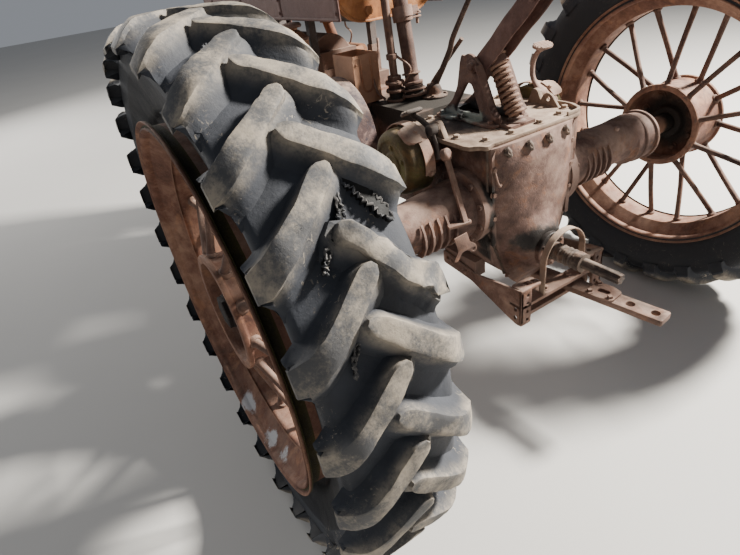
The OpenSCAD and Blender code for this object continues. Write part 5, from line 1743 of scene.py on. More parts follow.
@dataclass
class SideGroup:
    """Olive brake drums with their bands, and the belt pulley."""

    finishes: Finishes
    y: float = -0.16
    z: float = 0.868

    def drums(self) -> None:
        """Drums with rounded rims and a raised ring on the face."""
        skin = Skin()
        drum = rounded([(0.0, 0.2413), (0.04, 0.2413), (0.04, 0.262), (0.098, 0.262), (0.098, 0.255),
                        (0.1075, 0.255), (0.108, 0.318), (0.104, 0.338), (0.092, 0.3475), (0.078, 0.3505),
                        (0.07, 0.348), (0.04, 0.346), (0.034, 0.35), (0.02, 0.3505), (0.0, 0.348)], 0.006, 4)
        for s in (1, -1):
            skin.turned(drum, at(0, self.y, self.z), (s, 0, 0), 88)
            for place in ring_of(at(s * 0.347, self.y, self.z), 0.055, 5, 20, "yz"):
                skin.bolt(place, (s, 0, 0), 0.007, 0.0035)
        skin.build("brake_drums_round", self.finishes.olive, Slot.OLIVE, crease=40,
                   replaces=["brake_drums"])

    def spot(self, x: float, r: float, angle: float) -> Vector:
        """A point about the drum: 0 degrees to the rear, 90 to the top."""
        a = radians(angle)
        return at(x, self.y + r * cos(a), self.z + r * sin(a))

    def bands(self) -> None:
        """Guard straps with the pale rounded pad over the drum's edge."""
        skin = Skin()
        for s in (1, -1):
            strap = []
            for k in range(45):
                d = -12 + 196 * k / 44
                strap.append([self.spot(s * x, r, d) for x, r in ((0.266, 0.1165), (0.304, 0.1165),
                                                                  (0.304, 0.1205), (0.266, 0.1205))])
            skin.rings(strap)
            pad = []
            for k in range(15):
                d = 40 + 34 * k / 14
                out = 0.3155 + 0.03 * sqrt(max(0.03, 1 - ((k - 7) / 7.0) ** 4))
                section = ((0.288, 0.1212), (0.31, 0.1215), (out - 0.008, 0.12), (out, 0.115),
                           (out + 0.003, 0.1175), (out - 0.006, 0.1235), (0.31, 0.1252), (0.288, 0.125))
                pad.append([self.spot(s * x, r, d) for x, r in section])
            skin.rings(pad)
            outward = self.spot(s * 0.297, 1.0, 57) - self.spot(s * 0.297, 0.0, 57)
            skin.bolt(self.spot(s * 0.297, 0.125, 57), outward, 0.007, 0.006)
            skin.block(*sorted_box(at(s * 0.185, self.y - 0.122, self.z - 0.06),
                                   at(s * 0.306, self.y - 0.114, self.z - 0.024)))
            skin.bolt(at(s * 0.284, self.y + 0.1175, self.z - 0.02), AFT, 0.008, 0.008)
        skin.build("brake_bands", self.finishes.pad_plate, Slot.STEEL, bevel=0.0008, crease=38,
                   replaces=["brake_guards"])

    def pulley(self) -> None:
        """The belt pulley with a crowned face, web and hub."""
        low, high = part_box("belt_pulley")
        c = (low + high) / 2
        r, x0, x1 = (high.z - low.z) / 2, low.x + 0.02, high.x
        skin = Skin()
        ring = rounded([(r - 0.01, x0), (r - 0.003, x0), (r, (x0 + x1) / 2), (r - 0.003, x1), (r - 0.01, x1),
                        (r - 0.011, x0 + 0.09), (r - 0.02, x0 + 0.078), (0.075, x0 + 0.058),
                        (0.06, x0 + 0.07), (0.052, x1 - 0.042), (0.03, x1 - 0.04), (0.0, x1 - 0.041),
                        (0.0, low.x), (0.056, low.x), (0.058, x0 + 0.03), (0.074, x0 + 0.046),
                        (r - 0.02, x0 + 0.066), (r - 0.011, x0 + 0.052)], 0.003, 3)
        skin.turned(ring, Vector((0, c.y, c.z)), LEFT, 120, closed=True)
        for place in ring_of(Vector((x0 + 0.066, c.y, c.z)), 0.09, 6, 0, "yz"):
            skin.bolt(place, LEFT, 0.009, 0.008)
        skin.build("belt_pulley_crowned", self.finishes.pulley, Slot.STEEL, crease=40,
                   replaces=["belt_pulley"])

    def build(self) -> None:
        """Makes the group."""
        for step in (self.drums, self.bands, self.pulley):
            step()


def sorted_box(a: Vector, b: Vector) -> tuple[Vector, Vector]:
    """The two corners with the smaller numbers first."""
    return Vector(map(min, a, b)), Vector(map(max, a, b))


@dataclass
class HitchGroup:
    """Splined shaft with its greasy sleeve, hoop, drawbar and plates."""

    finishes: Finishes
    shaft_z: float = 0.555

    def shaft(self) -> None:
        """The splined shaft and the lumpy sleeve."""
        skin = Skin()
        c = at(0, 0, self.shaft_z)
        rings = []
        for y in (0.306, 0.3725, 0.376, 0.452, 0.4578):
            ring = []
            for k in range(72):
                a = 2 * pi * k / 72
                tooth = 0.5 + 0.5 * tanh(4 * sin(6 * a))
                deep = 0.0 if y < 0.374 else 0.0032
                r = 0.0175 - deep * (1 - tooth) - (0.0016 if y > 0.455 else 0.0)
                ring.append(c + Vector((r * cos(a), y, r * sin(a))))
            rings.append(ring)
        skin.rings(rings)
        dice = random.Random(9)
        profile = [(0.0178, 0.2075), (0.03, 0.2075)]
        lumps = 40
        for k in range(lumps):
            y = 0.209 + 0.119 * k / lumps
            profile.append((0.0272 + dice.uniform(0.0, 0.004) + 0.0015 * sin(k * 1.9), y))
        profile += [(0.03, 0.329), (0.0178, 0.33)]
        rings = []
        for k in range(56):
            a = 2 * pi * k / 56
            out = Vector((cos(a), 0, sin(a)))
            ring = []
            for r, y in profile:
                lump = noise.fractal(Vector((cos(a) * 2, y * 60, sin(a) * 2)), 1.0, 2.0, 3)
                ring.append(c + Vector((r * cos(a), y, r * sin(a))) + out * lump * 0.0022)
            rings.append(ring)
        skin.rings(rings, around=True, caps=False, loop=True)
        skin.build("pto_splines", self.finishes.greasy, Slot.OILY, crease=40, replaces=["pto_shaft"])

    def hoop(self) -> None:
        """The bent strap over the shaft."""
        skin = Skin()
        pts = [at(0.091, 0.25, 0.4445), at(0.0915, 0.25, 0.5), at(0.0915, 0.25, 0.555)]
        for k in range(1, 16):
            a = pi * k / 16
            pts.append(at(0.0915 * cos(a), 0.25, 0.555 + 0.0915 * sin(a)))
        pts += [at(-0.0915, 0.25, 0.555), at(-0.0915, 0.25, 0.5), at(-0.091, 0.25, 0.4445)]
        rings = []
        for i, p in enumerate(pts):
            ahead = unit(pts[min(i + 1, len(pts) - 1)] - pts[max(i - 1, 0)])
            n = unit(ahead.cross(Vector(AFT))) * 0.0024
            w = Vector((0, 0.0115, 0))
            rings.append([p - w - n, p + w - n, p + w + n, p - w + n])
        skin.rings(rings)
        skin.build("pto_hoop", self.finishes.hoop, Slot.STEEL, bevel=0.0012, crease=40,
                   replaces=["pto_guard"])

    def drawbar(self) -> None:
        """The forged drawbar with worn holes and its slotted plate."""
        pin_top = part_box("drawbar")[1].z
        swing = radians(8)
        along, side = Vector((-sin(swing), cos(swing), 0)), Vector((cos(swing), sin(swing), 0))
        pivot = at(0, -0.35, 0.38)
        skin = Skin()
        long = 0.905
        outline = [(-0.032, 0.0)] + [(0.032 * cos(t), 0.032 * sin(t)) for t in
                                     (pi + pi * k / 12 for k in range(1, 12))] + [(0.032, 0.0)]
        outline += rounded([(0.032, 0.1), (0.0315, long - 0.004), (0.026, long - 0.001), (-0.027, long),
                            (-0.032, long - 0.006), (-0.032, 0.1)], 0.006, 3)
        skin.plate(outline, pivot, side, along, 0.022,
                   [circle(0, long - 0.034, 0.013, 24), circle(0.0015, long - 0.112, 0.0135, 24)], 0.003)
        top = Vector((0, 0, 0.022))
        slot = [(-0.01, long - 0.222), (0.01, long - 0.222), (0.01, long - 0.182), (-0.01, long - 0.182)]
        cover = [(-0.043, long - 0.249), (0.041, long - 0.249), (0.0435, long - 0.2), (0.03, long - 0.156),
                 (-0.03, long - 0.155), (-0.0435, long - 0.19)]
        skin.plate(rounded(cover, 0.01, 3, closed=True), pivot + top, side, along, 0.0095,
                   [rounded(slot, 0.0098, 5, closed=True)], 0.002)
        for x, d in ((-0.03, long - 0.236), (0.03, long - 0.236), (0.026, long - 0.168)):
            place = pivot + top + side * x + along * d + Vector((0, 0, 0.0095))
            skin.bolt(place, UP, 0.0095, 0.009, square=True)
        tall = pin_top - pivot.z
        skin.turned([(0, 0.0), (0.03, 0.0), (0.03, tall), (0, tall)], pivot, UP, 32)
        skin.build("drawbar_forged", self.finishes.steel, Slot.STEEL, crease=35, replaces=["drawbar"])

    def plates(self) -> None:
        """Side plates, angles with holes, cross beam and the rest under the bar."""
        skin = Skin()
        outline = rounded([(-0.12, 0.504), (0.05, 0.474), (0.262, 0.504), (0.262, 0.366), (0.236, 0.366),
                           (0.03, 0.438), (-0.12, 0.452)], 0.01, 3, closed=True)
        for s in (1, -1):
            x = 0.186 if s > 0 else -0.196
            holes = [circle(0.236, 0.392, 0.008, 18), circle(0.236, 0.424, 0.008, 18),
                     circle(-0.095, 0.478, 0.007, 16)]
            skin.plate(outline, at(x, 0, 0), AFT, UP, 0.01, holes, 0.0018)
            face = [(s * 0.15, 0.366), (s * 0.196, 0.366), (s * 0.196, 0.504), (s * 0.15, 0.504)]
            rear = [circle(s * 0.166, z, 0.006, 14) for z in (0.384, 0.415, 0.446, 0.478)]
            skin.plate(rounded(face[::s], 0.005, 2, closed=True), at(0, 0.262, 0), LEFT, UP, 0.011, rear,
                       0.0018)
            tab = [(s * 0.106, 0.21), (s * 0.19, 0.21), (s * 0.19, 0.258), (s * 0.106, 0.262)]
            skin.plate(rounded(tab[::s], 0.008, 3, closed=True), at(0, 0, 0.492), LEFT, AFT, 0.011,
                       [circle(s * 0.124, 0.236, 0.0075, 16), circle(s * 0.15, 0.236, 0.0075, 16)], 0.0018)
            skin.block(*sorted_box(at(s * 0.15, 0.2125, 0.374), at(s * 0.162, 0.2355, 0.433)))
            skin.bolt(at(s * 0.176, 0.222, 0.444), UP, 0.011, 0.01, square=True)
            for y, z in ((-0.07, 0.476), (0.0, 0.466)):
                skin.bolt(at(s * 0.196, y, z), (s, 0, 0), 0.011, 0.01)
        skin.block(at(-0.196, 0.212, 0.432), at(0.196, 0.262, 0.444))
        skin.block(at(-0.162, 0.196, 0.366), at(0.162, 0.236, 0.38))
        for x in (0.06, -0.05):
            skin.bolt(at(x, 0.237, 0.444), UP, 0.01, 0.009)
        skin.build("hitch_plates", self.finishes.steel, Slot.STEEL, bevel=0.0012, crease=35,
                   replaces=["drawbar_frame"])

    def build(self) -> None:
        """Makes the group."""
        for step in (self.shaft, self.hoop, self.drawbar, self.plates):
            step()


# Front half


@dataclass
class FrontWheel:
    """A small ribbed wheel on a leaning spindle."""

    sign: int
    body: Body
    suffix: str
    camber: float = 3.0
    spoke_count: int = 10
    lip_r: float = 0.222
    seat_r: float = 0.2137
    well_r: float = 0.19

    def __post_init__(self) -> None:
        """Finds the wheel's centre and its leaning axes."""
        a = radians(self.camber)
        self.centre = at(self.sign * 0.158, -WHEELBASE, 0.34462)
        self.axis = Vector((self.sign * cos(a), 0, -sin(a)))
        self.up = Vector((self.sign * sin(a), 0, cos(a)))

    def spot(self, d: float, r: float, angle: float) -> Vector:
        """A point from its distance outboard, its radius and its angle from the rear towards the top."""
        t = radians(angle)
        return self.centre + self.axis * d + (Vector(AFT) * cos(t) + self.up * sin(t)) * r

    def tyre(self, skin: Skin) -> None:
        """The worn three-ribbed tyre."""
        half = [(0.3447, 0.0), (0.3447, 0.0075), (0.3436, 0.0092), (0.3368, 0.01), (0.3352, 0.013),
                (0.3312, 0.027), (0.3322, 0.0288), (0.3336, 0.0302), (0.3334, 0.0455), (0.3318, 0.0472),
                (0.316, 0.048), (0.311, 0.0508), (0.301, 0.0562), (0.29, 0.0603), (0.276, 0.062),
                (0.262, 0.0608), (0.25, 0.059), (0.247, 0.06), (0.243, 0.0572), (0.229, 0.054),
                (0.22, 0.05), (0.2145, 0.0488), (0.2142, 0.038), (0.24, 0.045), (0.275, 0.048),
                (0.305, 0.03), (0.321, 0.0)]
        skin.turned(half + [(r, -d) for r, d in half[-2:0:-1]], self.centre, self.axis, 132, closed=True)
        for i, p in enumerate(skin.points):
            out = (p - self.centre) - self.axis * (p - self.centre).dot(self.axis)
            skin.marks[i] = 0.85 if out.length > 0.3325 else 0.3 if out.length > 0.26 else 0.0
            skin.points[i] = p + unit(out) * noise.fractal(p * 14, 1.0, 2.0, 3) * 0.0012

    def rim(self, skin: Skin) -> None:
        """The rolled rim, its round spokes and the hub with its cap."""
        half = [(self.lip_r, 0.0565), (self.lip_r, 0.0525), (self.seat_r, 0.05), (self.seat_r, 0.034),
                (self.well_r + 0.005, 0.02)]
        back = [(self.well_r, 0.022), (self.seat_r - 0.006, 0.037), (self.seat_r - 0.006, 0.0565)]
        ring = rounded(half + [(r, -d) for r, d in reversed(half)] + [(r, -d) for r, d in reversed(back)]
                       + back, 0.004, 3, closed=True)
        skin.turned(ring, self.centre, self.axis, 120, closed=True)
        skin.turned(rounded([(0, -0.0395), (0.0545, -0.04), (0.0545, -0.029), (0.048, -0.024), (0.048, 0.026),
                             (0.036, 0.041), (0.0265, 0.044), (0.0265, 0.0525), (0, 0.053)], 0.002, 2),
                    self.centre, self.axis, 48)
        for i in range(self.spoke_count):
            deg = 360 / self.spoke_count * i
            foot = self.spot(-0.02 if i % 2 == 0 else 0.02, 0.04, deg)
            head = self.spot(0.0, self.well_r + 0.002, deg)
            ends = [foot.lerp(head, t) for t in (0.0, 0.1, 0.16, 0.9, 0.955, 1.0)]
            skin.tube(ends, [0.0125, 0.0115, 0.0082, 0.0082, 0.011, 0.0125], 14)
        for k in range(6):
            skin.bolt(self.spot(-0.029, 0.0445, 30 + 60 * k), self.axis, 0.005, 0.006)
            skin.bolt(self.spot(0.0365, 0.0315, 60 * k), self.axis, 0.0045, 0.005)

    def build(self, finishes: Finishes) -> None:
        """Makes the wheel."""
        rubber, iron = Skin(), Skin()
        self.tyre(rubber)
        rubber.build("front_tyre_" + self.suffix + "_worn", finishes.ribbed, Slot.TYRE, self.body, crease=40,
                     replaces=["front_tyre_" + self.suffix])
        self.rim(iron)
        iron.build("front_rim_" + self.suffix + "_rolled", finishes.rim, Slot.RIM, self.body, crease=40,
                   replaces=["front_rim_" + self.suffix])


@dataclass
class HoodGroup:
    """Hood trim, fuel tank, grille bars and the filler cap."""

    finishes: Finishes
    half: float = 0.232
    crown: float = 0.33
    top: float = 1.52
    low: float = 1.262
    rear: float = -0.576
    front: float = -2.016
    face: float = -2.143

    def arch(self, lift: float, low: float, steps: int = 14) -> list[Pair]:
        """The hood's outline from its left foot over the top to the right one.

        Args:
            lift: How far it is moved outward.
            low: The height of its feet.
            steps: Segments over the top.

        Returns:
            Pairs of X and Z.
        """
        r, half = self.crown + lift, self.half + lift
        centre = self.top - self.crown
        edge = asin(self.half / self.crown)
        over = [(r * sin(edge * (1 - 2 * k / steps)), centre + r * cos(edge * (1 - 2 * k / steps)))
                for k in range(steps + 1)]
        return [(half, low), *over, (-half, low)]

    def strap(self, skin: Skin, y: float, width: float = 0.016, lift: float = 0.0012) -> None:
        """A flat band over the hood with a row of rivets.

        Args:
            skin: Where it goes.
            y: Its place, from the rear axle.
            width: Half its width.
            lift: How far its middle is above the sheet.
        """
        path = [at(x, y, z) for x, z in self.arch(lift, self.low + 0.004)]
        skin.tube(path, width, 10, flat=0.16, hint=(0, 1, 0))
        for side in (1, -1):
            for z in (1.285, 1.335, 1.385):
                skin.bolt(at(side * (self.half + 0.003), y, z), (side, 0, 0), 0.0055, 0.004)

    def trim(self) -> None:
        """Rolled lower edges, the ridge bead, the bands and the collar of the stack."""
        red = Skin()
        for side in (1, -1):
            red.tube([at(side * (self.half - 0.001), y, self.low + 0.003)
                      for y in (self.rear - 0.004, -1.0, -1.5, self.front + 0.004)], 0.0065, 12)
            bead = [at(side * (self.half + 0.0002), y, 1.4165)
                    for y in (self.rear - 0.03, -1.3, self.front + 0.03)]
            red.tube(bead, [0.002, 0.0045, 0.002], 10)
        for y in (self.front + 0.018, -1.545, -1.085, self.rear - 0.018):
            self.strap(red, y)
        centre = self.top - self.crown
        z = centre + sqrt(self.crown**2 - STACK[0] ** 2)
        ring = [(0.0325, -0.022), (0.0345, 0.016), (0.0375, 0.016), (0.0375, 0.004), (0.05, -0.001),
                (0.05, -0.022)]
        red.turned(rounded(ring, 0.0015, 2, closed=True), at(*STACK, z), UP, 36, closed=True)
        red.build("hood_trim", self.finishes.hood, Slot.RED, crease=40)
        cap = Skin()
        profile = [(0, -0.008), (0.045, -0.006), (0.045, 0.004), (0.036, 0.006), (0.036, 0.016),
                   (0.043, 0.018), (0.043, 0.034), (0.036, 0.04), (0.012, 0.043), (0, 0.043)]
        cap.turned(rounded(profile, 0.002, 2), at(0, -0.83, self.top), UP, 40)
        half = Vector((0, 0, 0.007))
        for place in ring_of(at(0, -0.83, self.top + 0.026), 0.043, 10):
            cap.tube([place - half, place + half], 0.0035, 8)
        cap.build("filler_cap", self.finishes.greasy, Slot.OILY, crease=40)

    def tank(self) -> None:
        """The round-bellied tank with its end seams, and the legs that it stands on."""
        half, low, belly = 0.227, 1.2368, 0.125
        arc = [(half - belly + belly * sin(t), low + belly - belly * cos(t))
               for t in (pi / 2 * k / 8 for k in range(9))]
        upper = [(half, 1.405), (0.205, 1.435), (0.15, 1.478), (0.08, 1.502), (0.0, 1.51)]
        right = arc + upper
        outline = right + [(-x, z) for x, z in reversed(right[:-1])]
        middle = Vector((0, 0, 1.37))
        body, end = Skin(), Skin()
        stations = [(-0.632, 0.985), (-0.8, 0.988), (-1.0, 0.985), (-1.058, 0.985), (-1.06, 1.0), (-1.078, 1.0),
                    (-1.079, 0.96), (-1.072, 0.94), (-1.068, 0.5)]
        body.rings([[at(x * k, y, middle.z + (z - middle.z) * k) for x, z in outline] for y, k in stations])
        for side in (1, -1):
            body.block(at(side * 0.15 - 0.016, -1.006, 1.0985), at(side * 0.15 + 0.016, -0.974, 1.26))
            body.tube([at(x, y, z) for x, y, z in ((side * 0.15, -0.99, 1.245), (side * 0.2, -0.99, 1.29),
                                                   (side * 0.2262, -0.99, 1.36))], 0.014, 10, flat=0.2,
                      hint=(0, 1, 0))
        body.build("fuel_tank_body", self.finishes.oily, Slot.OILY, bevel=0.0015, crease=35,
                   replaces=["fuel_tank"])
        cap = [(-0.636, 0.984), (-0.634, 1.0), (-0.6085, 1.0), (-0.609, 0.965), (-0.615, 0.945), (-0.613, 0.8),
               (-0.61, 0.4)]
        end.rings([[at(x * k, y, middle.z + (z - middle.z) * k) for x, z in outline] for y, k in cap])
        plug = [(0, 0.0), (0.017, 0.0), (0.017, 0.012), (0.011, 0.014), (0, 0.014)]
        end.turned(plug, at(0.09, -0.612, 1.275), AFT, 6)
        end.build("fuel_tank_end", self.finishes.tank, Slot.RIM, bevel=0.001, crease=35)

    def bars(self) -> None:
        """Rolled edge, upright bars, cross wires and side bolts of the grille."""
        skin = Skin()
        skin.tube([at(x * 0.992, self.face + 0.001, z) for x, z in self.arch(-0.004, 1.004)], 0.007, 12)
        skin.tube([at(x, self.face + 0.001, 1.004) for x in (-0.226, 0.0, 0.226)], 0.007, 12)
        for i in range(-6, 6):
            x = 0.033 * i + 0.0165
            skin.tube([at(x, self.face - 0.001, z) for z in (1.052, 1.058, 1.235, 1.412, 1.418)],
                      [0.003, 0.0055, 0.0055, 0.0055, 0.003], 10, flat=0.6, hint=(1, 0, 0))
        for k in range(34):
            z = 1.064 + 0.0102 * k
            skin.tube([at(x, self.face + 0.0125, z) for x in (-0.182, 0.182)], 0.0011, 5)
        for side in (1, -1):
            for z in (1.03, 1.16, 1.29, 1.41):
                skin.bolt(at(side * (self.half + 0.0002), self.face + 0.1, z), (side, 0, 0), 0.006, 0.004)
        skin.build("grille_bars", self.finishes.hood, Slot.RED, crease=40)

    def build(self) -> None:
        """Makes the group."""
        self.trim()
        self.tank()
        self.bars()


@dataclass
class EngineGroup:
    """What is bolted to the engine, the frame and the clutch housing."""

    finishes: Finishes
    half: float = 0.145
    front: float = -1.745
    rear: float = -1.08

    def bolts(self) -> None:
        """Bolts of the head, side covers, rails and housings."""
        skin = Skin()
        for k in range(6):
            y = self.front + 0.06 + 0.107 * k
            for side in (1, -1):
                skin.bolt(at(side * 0.103, y, 1.094), UP, 0.0095, 0.012)
                skin.bolt(at(side * (self.half + 0.0005), y + 0.02, 0.985), (side, 0, 0), 0.008, 0.008)
        for side in (1, -1):
            for y in (-1.03, -1.18, -1.45, -1.72, -1.95, -2.12):
                for z in (0.756, 0.804):
                    skin.bolt(at(side * 0.1975, y, z), (side, 0, 0), 0.01, 0.01, square=True)
        for k in range(16):
            t = radians(22.5 * k)
            skin.bolt(at(0.166 * cos(t), -0.9405, 0.745 + 0.205 * sin(t)), AFT, 0.008, 0.01)
        gear = ring_of(at(0, -WHEELBASE, 1.612), 0.047, 6, 20)
        fan = ring_of(at(0, self.front - 0.001, 0.76), 0.066, 6, 20, "xz")
        for on_gear, on_fan in zip(gear, fan):
            skin.bolt(on_gear, UP, 0.007, 0.008)
            skin.bolt(on_fan, (0, -1, 0), 0.006, 0.006)
        for x in (-0.15, -0.05, 0.05, 0.15):
            skin.bolt(at(x, -1.979, 0.9), AFT, 0.01, 0.01)
        skin.build("front_bolts", self.finishes.steel, Slot.CASTING, crease=35)

    def fittings(self) -> None:
        """Spark plugs and leads, carburettor, covers, hoses and pipes."""
        iron, black = Skin(), Skin()
        magneto = at(0.189, -1.5, 0.962)
        for k, y in enumerate((-1.655, -1.49, -1.335, -1.17)):
            root, tip = at(0.117, y, 1.052), at(0.172, y, 1.084)
            axis = unit(tip - root)
            iron.turned([(0, 0), (0.014, 0.0), (0.014, 0.012), (0.009, 0.014), (0.009, 0.02)], root, axis, 6)
            nose = [(0.009, 0.018), (0.0085, 0.04), (0.005, 0.046), (0.004, 0.06), (0, 0.061)]
            iron.turned(nose, root, axis, 12)
            cap = magneto + Vector((0.012 * (-1) ** k, 0.018 * (k - 1.5), 0.012))
            lead = [tip, tip + Vector((0.028, 0, 0.004)), at(0.222, y * 0.6 - 0.6, 1.05), cap]
            black.tube(smooth_path(lead, 7), 0.0035, 8)
        iron.turned([(0.0, 0.0), (0.034, 0.0), (0.036, 0.01), (0.03, 0.03), (0.024, 0.034), (0, 0.036)],
                    magneto - Vector((0, 0, 0.01)), UP, 24)
        for z, r in ((0.93, 0.03), (0.955, 0.036), (0.985, 0.03)):
            iron.turned(disc(r, 0.03, 0.004), at(-0.19, -1.412, z), UP, 28)
        iron.tube([at(-0.19, -1.412, 1.0), at(-0.19, -1.412, 1.04)], 0.026, 20)
        iron.tube(way([(-0.19, -1.44, 0.968), (-0.19, -1.52, 0.968), (-0.17, -1.56, 0.99)], 5), 0.022, 18)
        for y in (-1.6, -1.245):
            iron.block(at(-0.1515, y - 0.12, 0.895), at(-0.1445, y + 0.12, 0.985))
            for dy in (-0.1, 0.0, 0.1):
                iron.bolt(at(-0.1515, y + dy, 0.94), (-1, 0, 0), 0.007, 0.008)
        for y in (-1.66, -1.49, -1.33, -1.165):
            iron.turned([(0.0, 0), (0.032, 0), (0.032, 0.009), (0.0, 0.009)], at(-0.1275, y, 1.056), LEFT, 20)
        hose = way([(0, -1.7, 1.15), (0, -1.8, 1.2), (0, -1.88, 1.36), (0, -2.03, 1.47)], 8)
        black.tube(hose, 0.026, 18)
        black.tube(way([(0.1, -1.74, 0.84), (0.12, -1.84, 0.86), (0.12, -1.93, 1.02),
                        (0.12, -2.03, 1.07)], 8), 0.024, 18)
        outlet = [(0, -0.012), (0.036, -0.01), (0.036, 0.016), (0.029, 0.02), (0, 0.022)]
        iron.turned(outlet, at(0, -1.69, 1.143), (0, -0.4, 0.9), 28)
        line = way([(-0.05, -1.04, 1.243), (-0.06, -1.06, 1.19), (-0.165, -1.2, 1.13),
                    (-0.215, -1.36, 1.02), (-0.205, -1.4, 0.962)], 8)
        iron.tube(line, 0.004, 8)
        for z in (1.012, 1.095, 1.182):
            iron.turned(collar(0.0615, 0.0655, 0, 0.012), at(*CLEANER, z), UP, 40, closed=True)
        iron.turned([(0.018, -0.006), (0.04, -0.004), (0.044, 0.004), (0.036, 0.013), (0, 0.018)],
                    at(*CLEANER, 1.236), UP, 36)
        for z in (1.58, 1.748):
            iron.turned(collar(0.0465, 0.0505, 0, 0.006), at(*STACK, z - 0.003), UP, 40, closed=True)
        iron.build("engine_fittings", self.finishes.steel, Slot.STEEL, crease=35)
        black.build("hoses_and_leads", self.finishes.pad, Slot.OILY, crease=50)

    def build(self) -> None:
        """Makes the group."""
        self.bolts()
        self.fittings()


class Dressing:
    """Gives each CAD node that is shown its finish."""

    def __init__(self, finishes: Finishes) -> None:
        """Pairs nodes with finishes."""
        f = finishes
        groups = (
            (f.casting, "transmission_case rear_cover axle_housing_left axle_housing_right steering_post"),
            (f.casting, "front_bolster steering_gear front_post"),
            (f.steel, "brake_guards pto_guard drawbar drawbar_frame seat_spring seat_bar seat_pan"),
            (f.steel, "pedal_left pedal_right throttle_tube steering_wheel"),
            (f.rim, "front_rim_left front_rim_right rear_rim_left rear_rim_right"),
            (f.oily, "seat_bracket levers radiator cooling_fan"),
            (f.engine, "clutch_housing engine_block cylinder_head"),
            (f.exhaust, "manifold exhaust_stack"), (f.tin, "tool_box air_cleaner"), (f.hood, "grille hood"),
            (f.ribbed, "front_tyre_left front_tyre_right"), (f.rubber, "rear_tyre_left rear_tyre_right"),
            (f.cover, "top_cover"), (f.olive, "brake_drums"), (f.pulley, "belt_pulley"),
            (f.greasy, "pto_shaft"), (f.bar, "frame_rails"), (f.tank, "fuel_tank"),
        )
        self.table = {name: finish for finish, names in groups for name in names.split()}

    def apply(self) -> None:
        """Puts the finishes on the nodes."""
        for name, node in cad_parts.items():
            node.data.materials.clear()
            node.data.materials.append(self.table[name])
            if node.hide_render:
                continue
            node.data.shade_smooth()
            node.data.set_sharp_from_angle(angle=radians(32))


# Studio


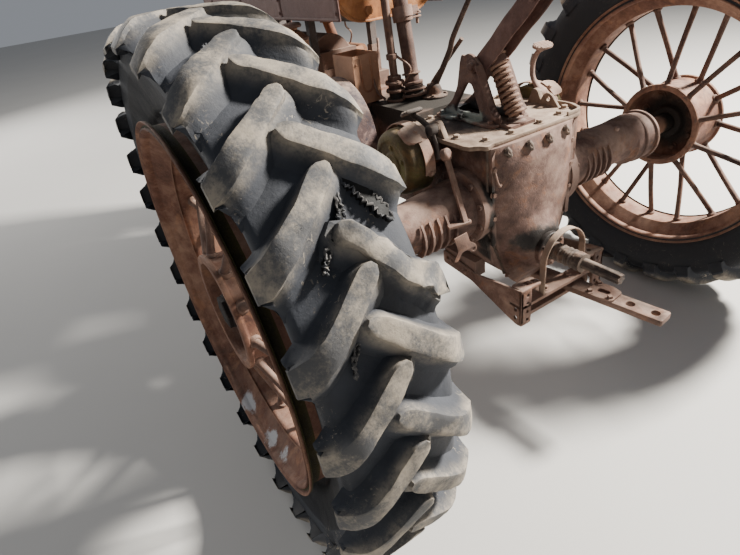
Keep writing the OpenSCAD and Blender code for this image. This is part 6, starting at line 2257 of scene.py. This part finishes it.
@dataclass
class Studio:
    """Camera at the photograph's angle, pale floor and soft light."""

    place: Point = (1.198, 1.171, 1.446)
    yaw: float = -0.48728
    pitch: float = 0.56192
    roll: float = -0.15461
    lens: float = 24.69
    sensor: float = 36.0
    floor_size: float = 60.0
    floor_z: float = -0.0006
    sky: Colour = (0.86, 0.91, 1.0)
    sky_strength: float = 0.28

    def camera(self) -> None:
        """The camera of the photograph."""
        data = bpy.data.cameras.new("camera")
        data.lens, data.sensor_width = self.lens, self.sensor
        data.clip_start, data.clip_end = 0.05, 200
        cam = bpy.data.objects.new("camera", data)
        flat = cos(self.pitch)
        back = -Vector((sin(self.yaw) * flat, -cos(self.yaw) * flat, -sin(self.pitch)))
        right = unit(Vector(UP).cross(back))
        up = back.cross(right)
        c, s = cos(self.roll), sin(self.roll)
        across, rise = right * c + up * s, up * c - right * s
        turn = Matrix((across, rise, back)).transposed()
        cam.matrix_world = Matrix.Translation(at(*self.place)) @ turn.to_4x4()
        bpy.context.scene.collection.objects.link(cam)
        bpy.context.scene.camera = cam

    def light(self, name: str, place: Point, aim: Point, size: float, power: float, colour: Colour) -> None:
        """Sets up a square soft light.

        Args:
            name: Its name.
            place: Where it stands.
            aim: What it shines at.
            size: Its side.
            power: Its power in watts.
            colour: Its colour.
        """
        data = bpy.data.lights.new(name, "AREA")
        data.shape, data.size, data.energy, data.color = "SQUARE", size, power, colour
        lamp = bpy.data.objects.new(name, data)
        lamp.location = place
        lamp.rotation_mode = "QUATERNION"
        lamp.rotation_quaternion = (Vector(aim) - Vector(place)).to_track_quat("-Z", "Y")
        bpy.context.scene.collection.objects.link(lamp)

    def floor(self) -> None:
        """The pale floor."""
        half, z = self.floor_size / 2, self.floor_z
        mesh = bpy.data.meshes.new("studio_floor")
        corners = [(-half, -half, z), (half, -half, z), (half, half, z), (-half, half, z)]
        mesh.from_pydata(corners, [], [(0, 1, 2, 3)])
        s = Shade("studio_floor")
        colour = s.mix(s.noise(0.8, 4), (0.46, 0.45, 0.43), (0.51, 0.5, 0.48))
        mesh.materials.append(s.finish(colour, 0.9, s.bump(s.noise(60, 4), 0.0005, 0.2), shine=0.2))
        floor = bpy.data.objects.new("studio_floor", mesh)
        bpy.context.scene.collection.objects.link(floor)

    def build(self) -> None:
        """Sets up the studio."""
        self.camera()
        self.floor()
        self.light("key", (-4.7, 2.4, 4.72), (0.2, 0.6, 0.5), 0.8, 2600, (1.0, 0.955, 0.88))
        self.light("fill", (4.6, 4.6, 3.2), (0.4, 0.5, 0.5), 4.0, 18, (0.92, 0.96, 1.0))
        self.light("front", (2.6, -6.8, 3.4), (0.0, -1.6, 0.9), 3.0, 400, (1.0, 0.97, 0.93))
        world = bpy.data.worlds.new("studio")
        world.use_nodes = True
        background = world.node_tree.nodes["Background"]
        background.inputs[0].default_value = (*self.sky, 1)
        background.inputs[1].default_value = self.sky_strength
        bpy.context.scene.world = world


def main() -> None:
    """Builds the studio and every sub-assembly, in order."""
    logging.basicConfig(level=logging.INFO, format="%(message)s")
    Studio().build()
    finishes = Finishes()
    RearTyre(LEFT_SIDE, slip=0.048, torn=(1,), tears=LEFT_TEARS_AND_SHADOW, seed=3).build(finishes)
    RearTyre(RIGHT_SIDE, seed=8).build(finishes)
    RearWheel(LEFT_SIDE, phase=84.5, ragged_bead=True).build(finishes)
    RearWheel(RIGHT_SIDE).build(finishes)
    CaseGroup(finishes).build()
    SeatGroup(finishes).build()
    Controls(finishes).build()
    SideGroup(finishes).build()
    HitchGroup(finishes).build()
    FrontWheel(1, Body.FRONT_LEFT, "left").build(finishes)
    FrontWheel(-1, Body.FRONT_RIGHT, "right").build(finishes)
    HoodGroup(finishes).build()
    EngineGroup(finishes).build()
    Dressing(finishes).apply()
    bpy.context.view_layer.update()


if __name__ == "__main__":
    main()
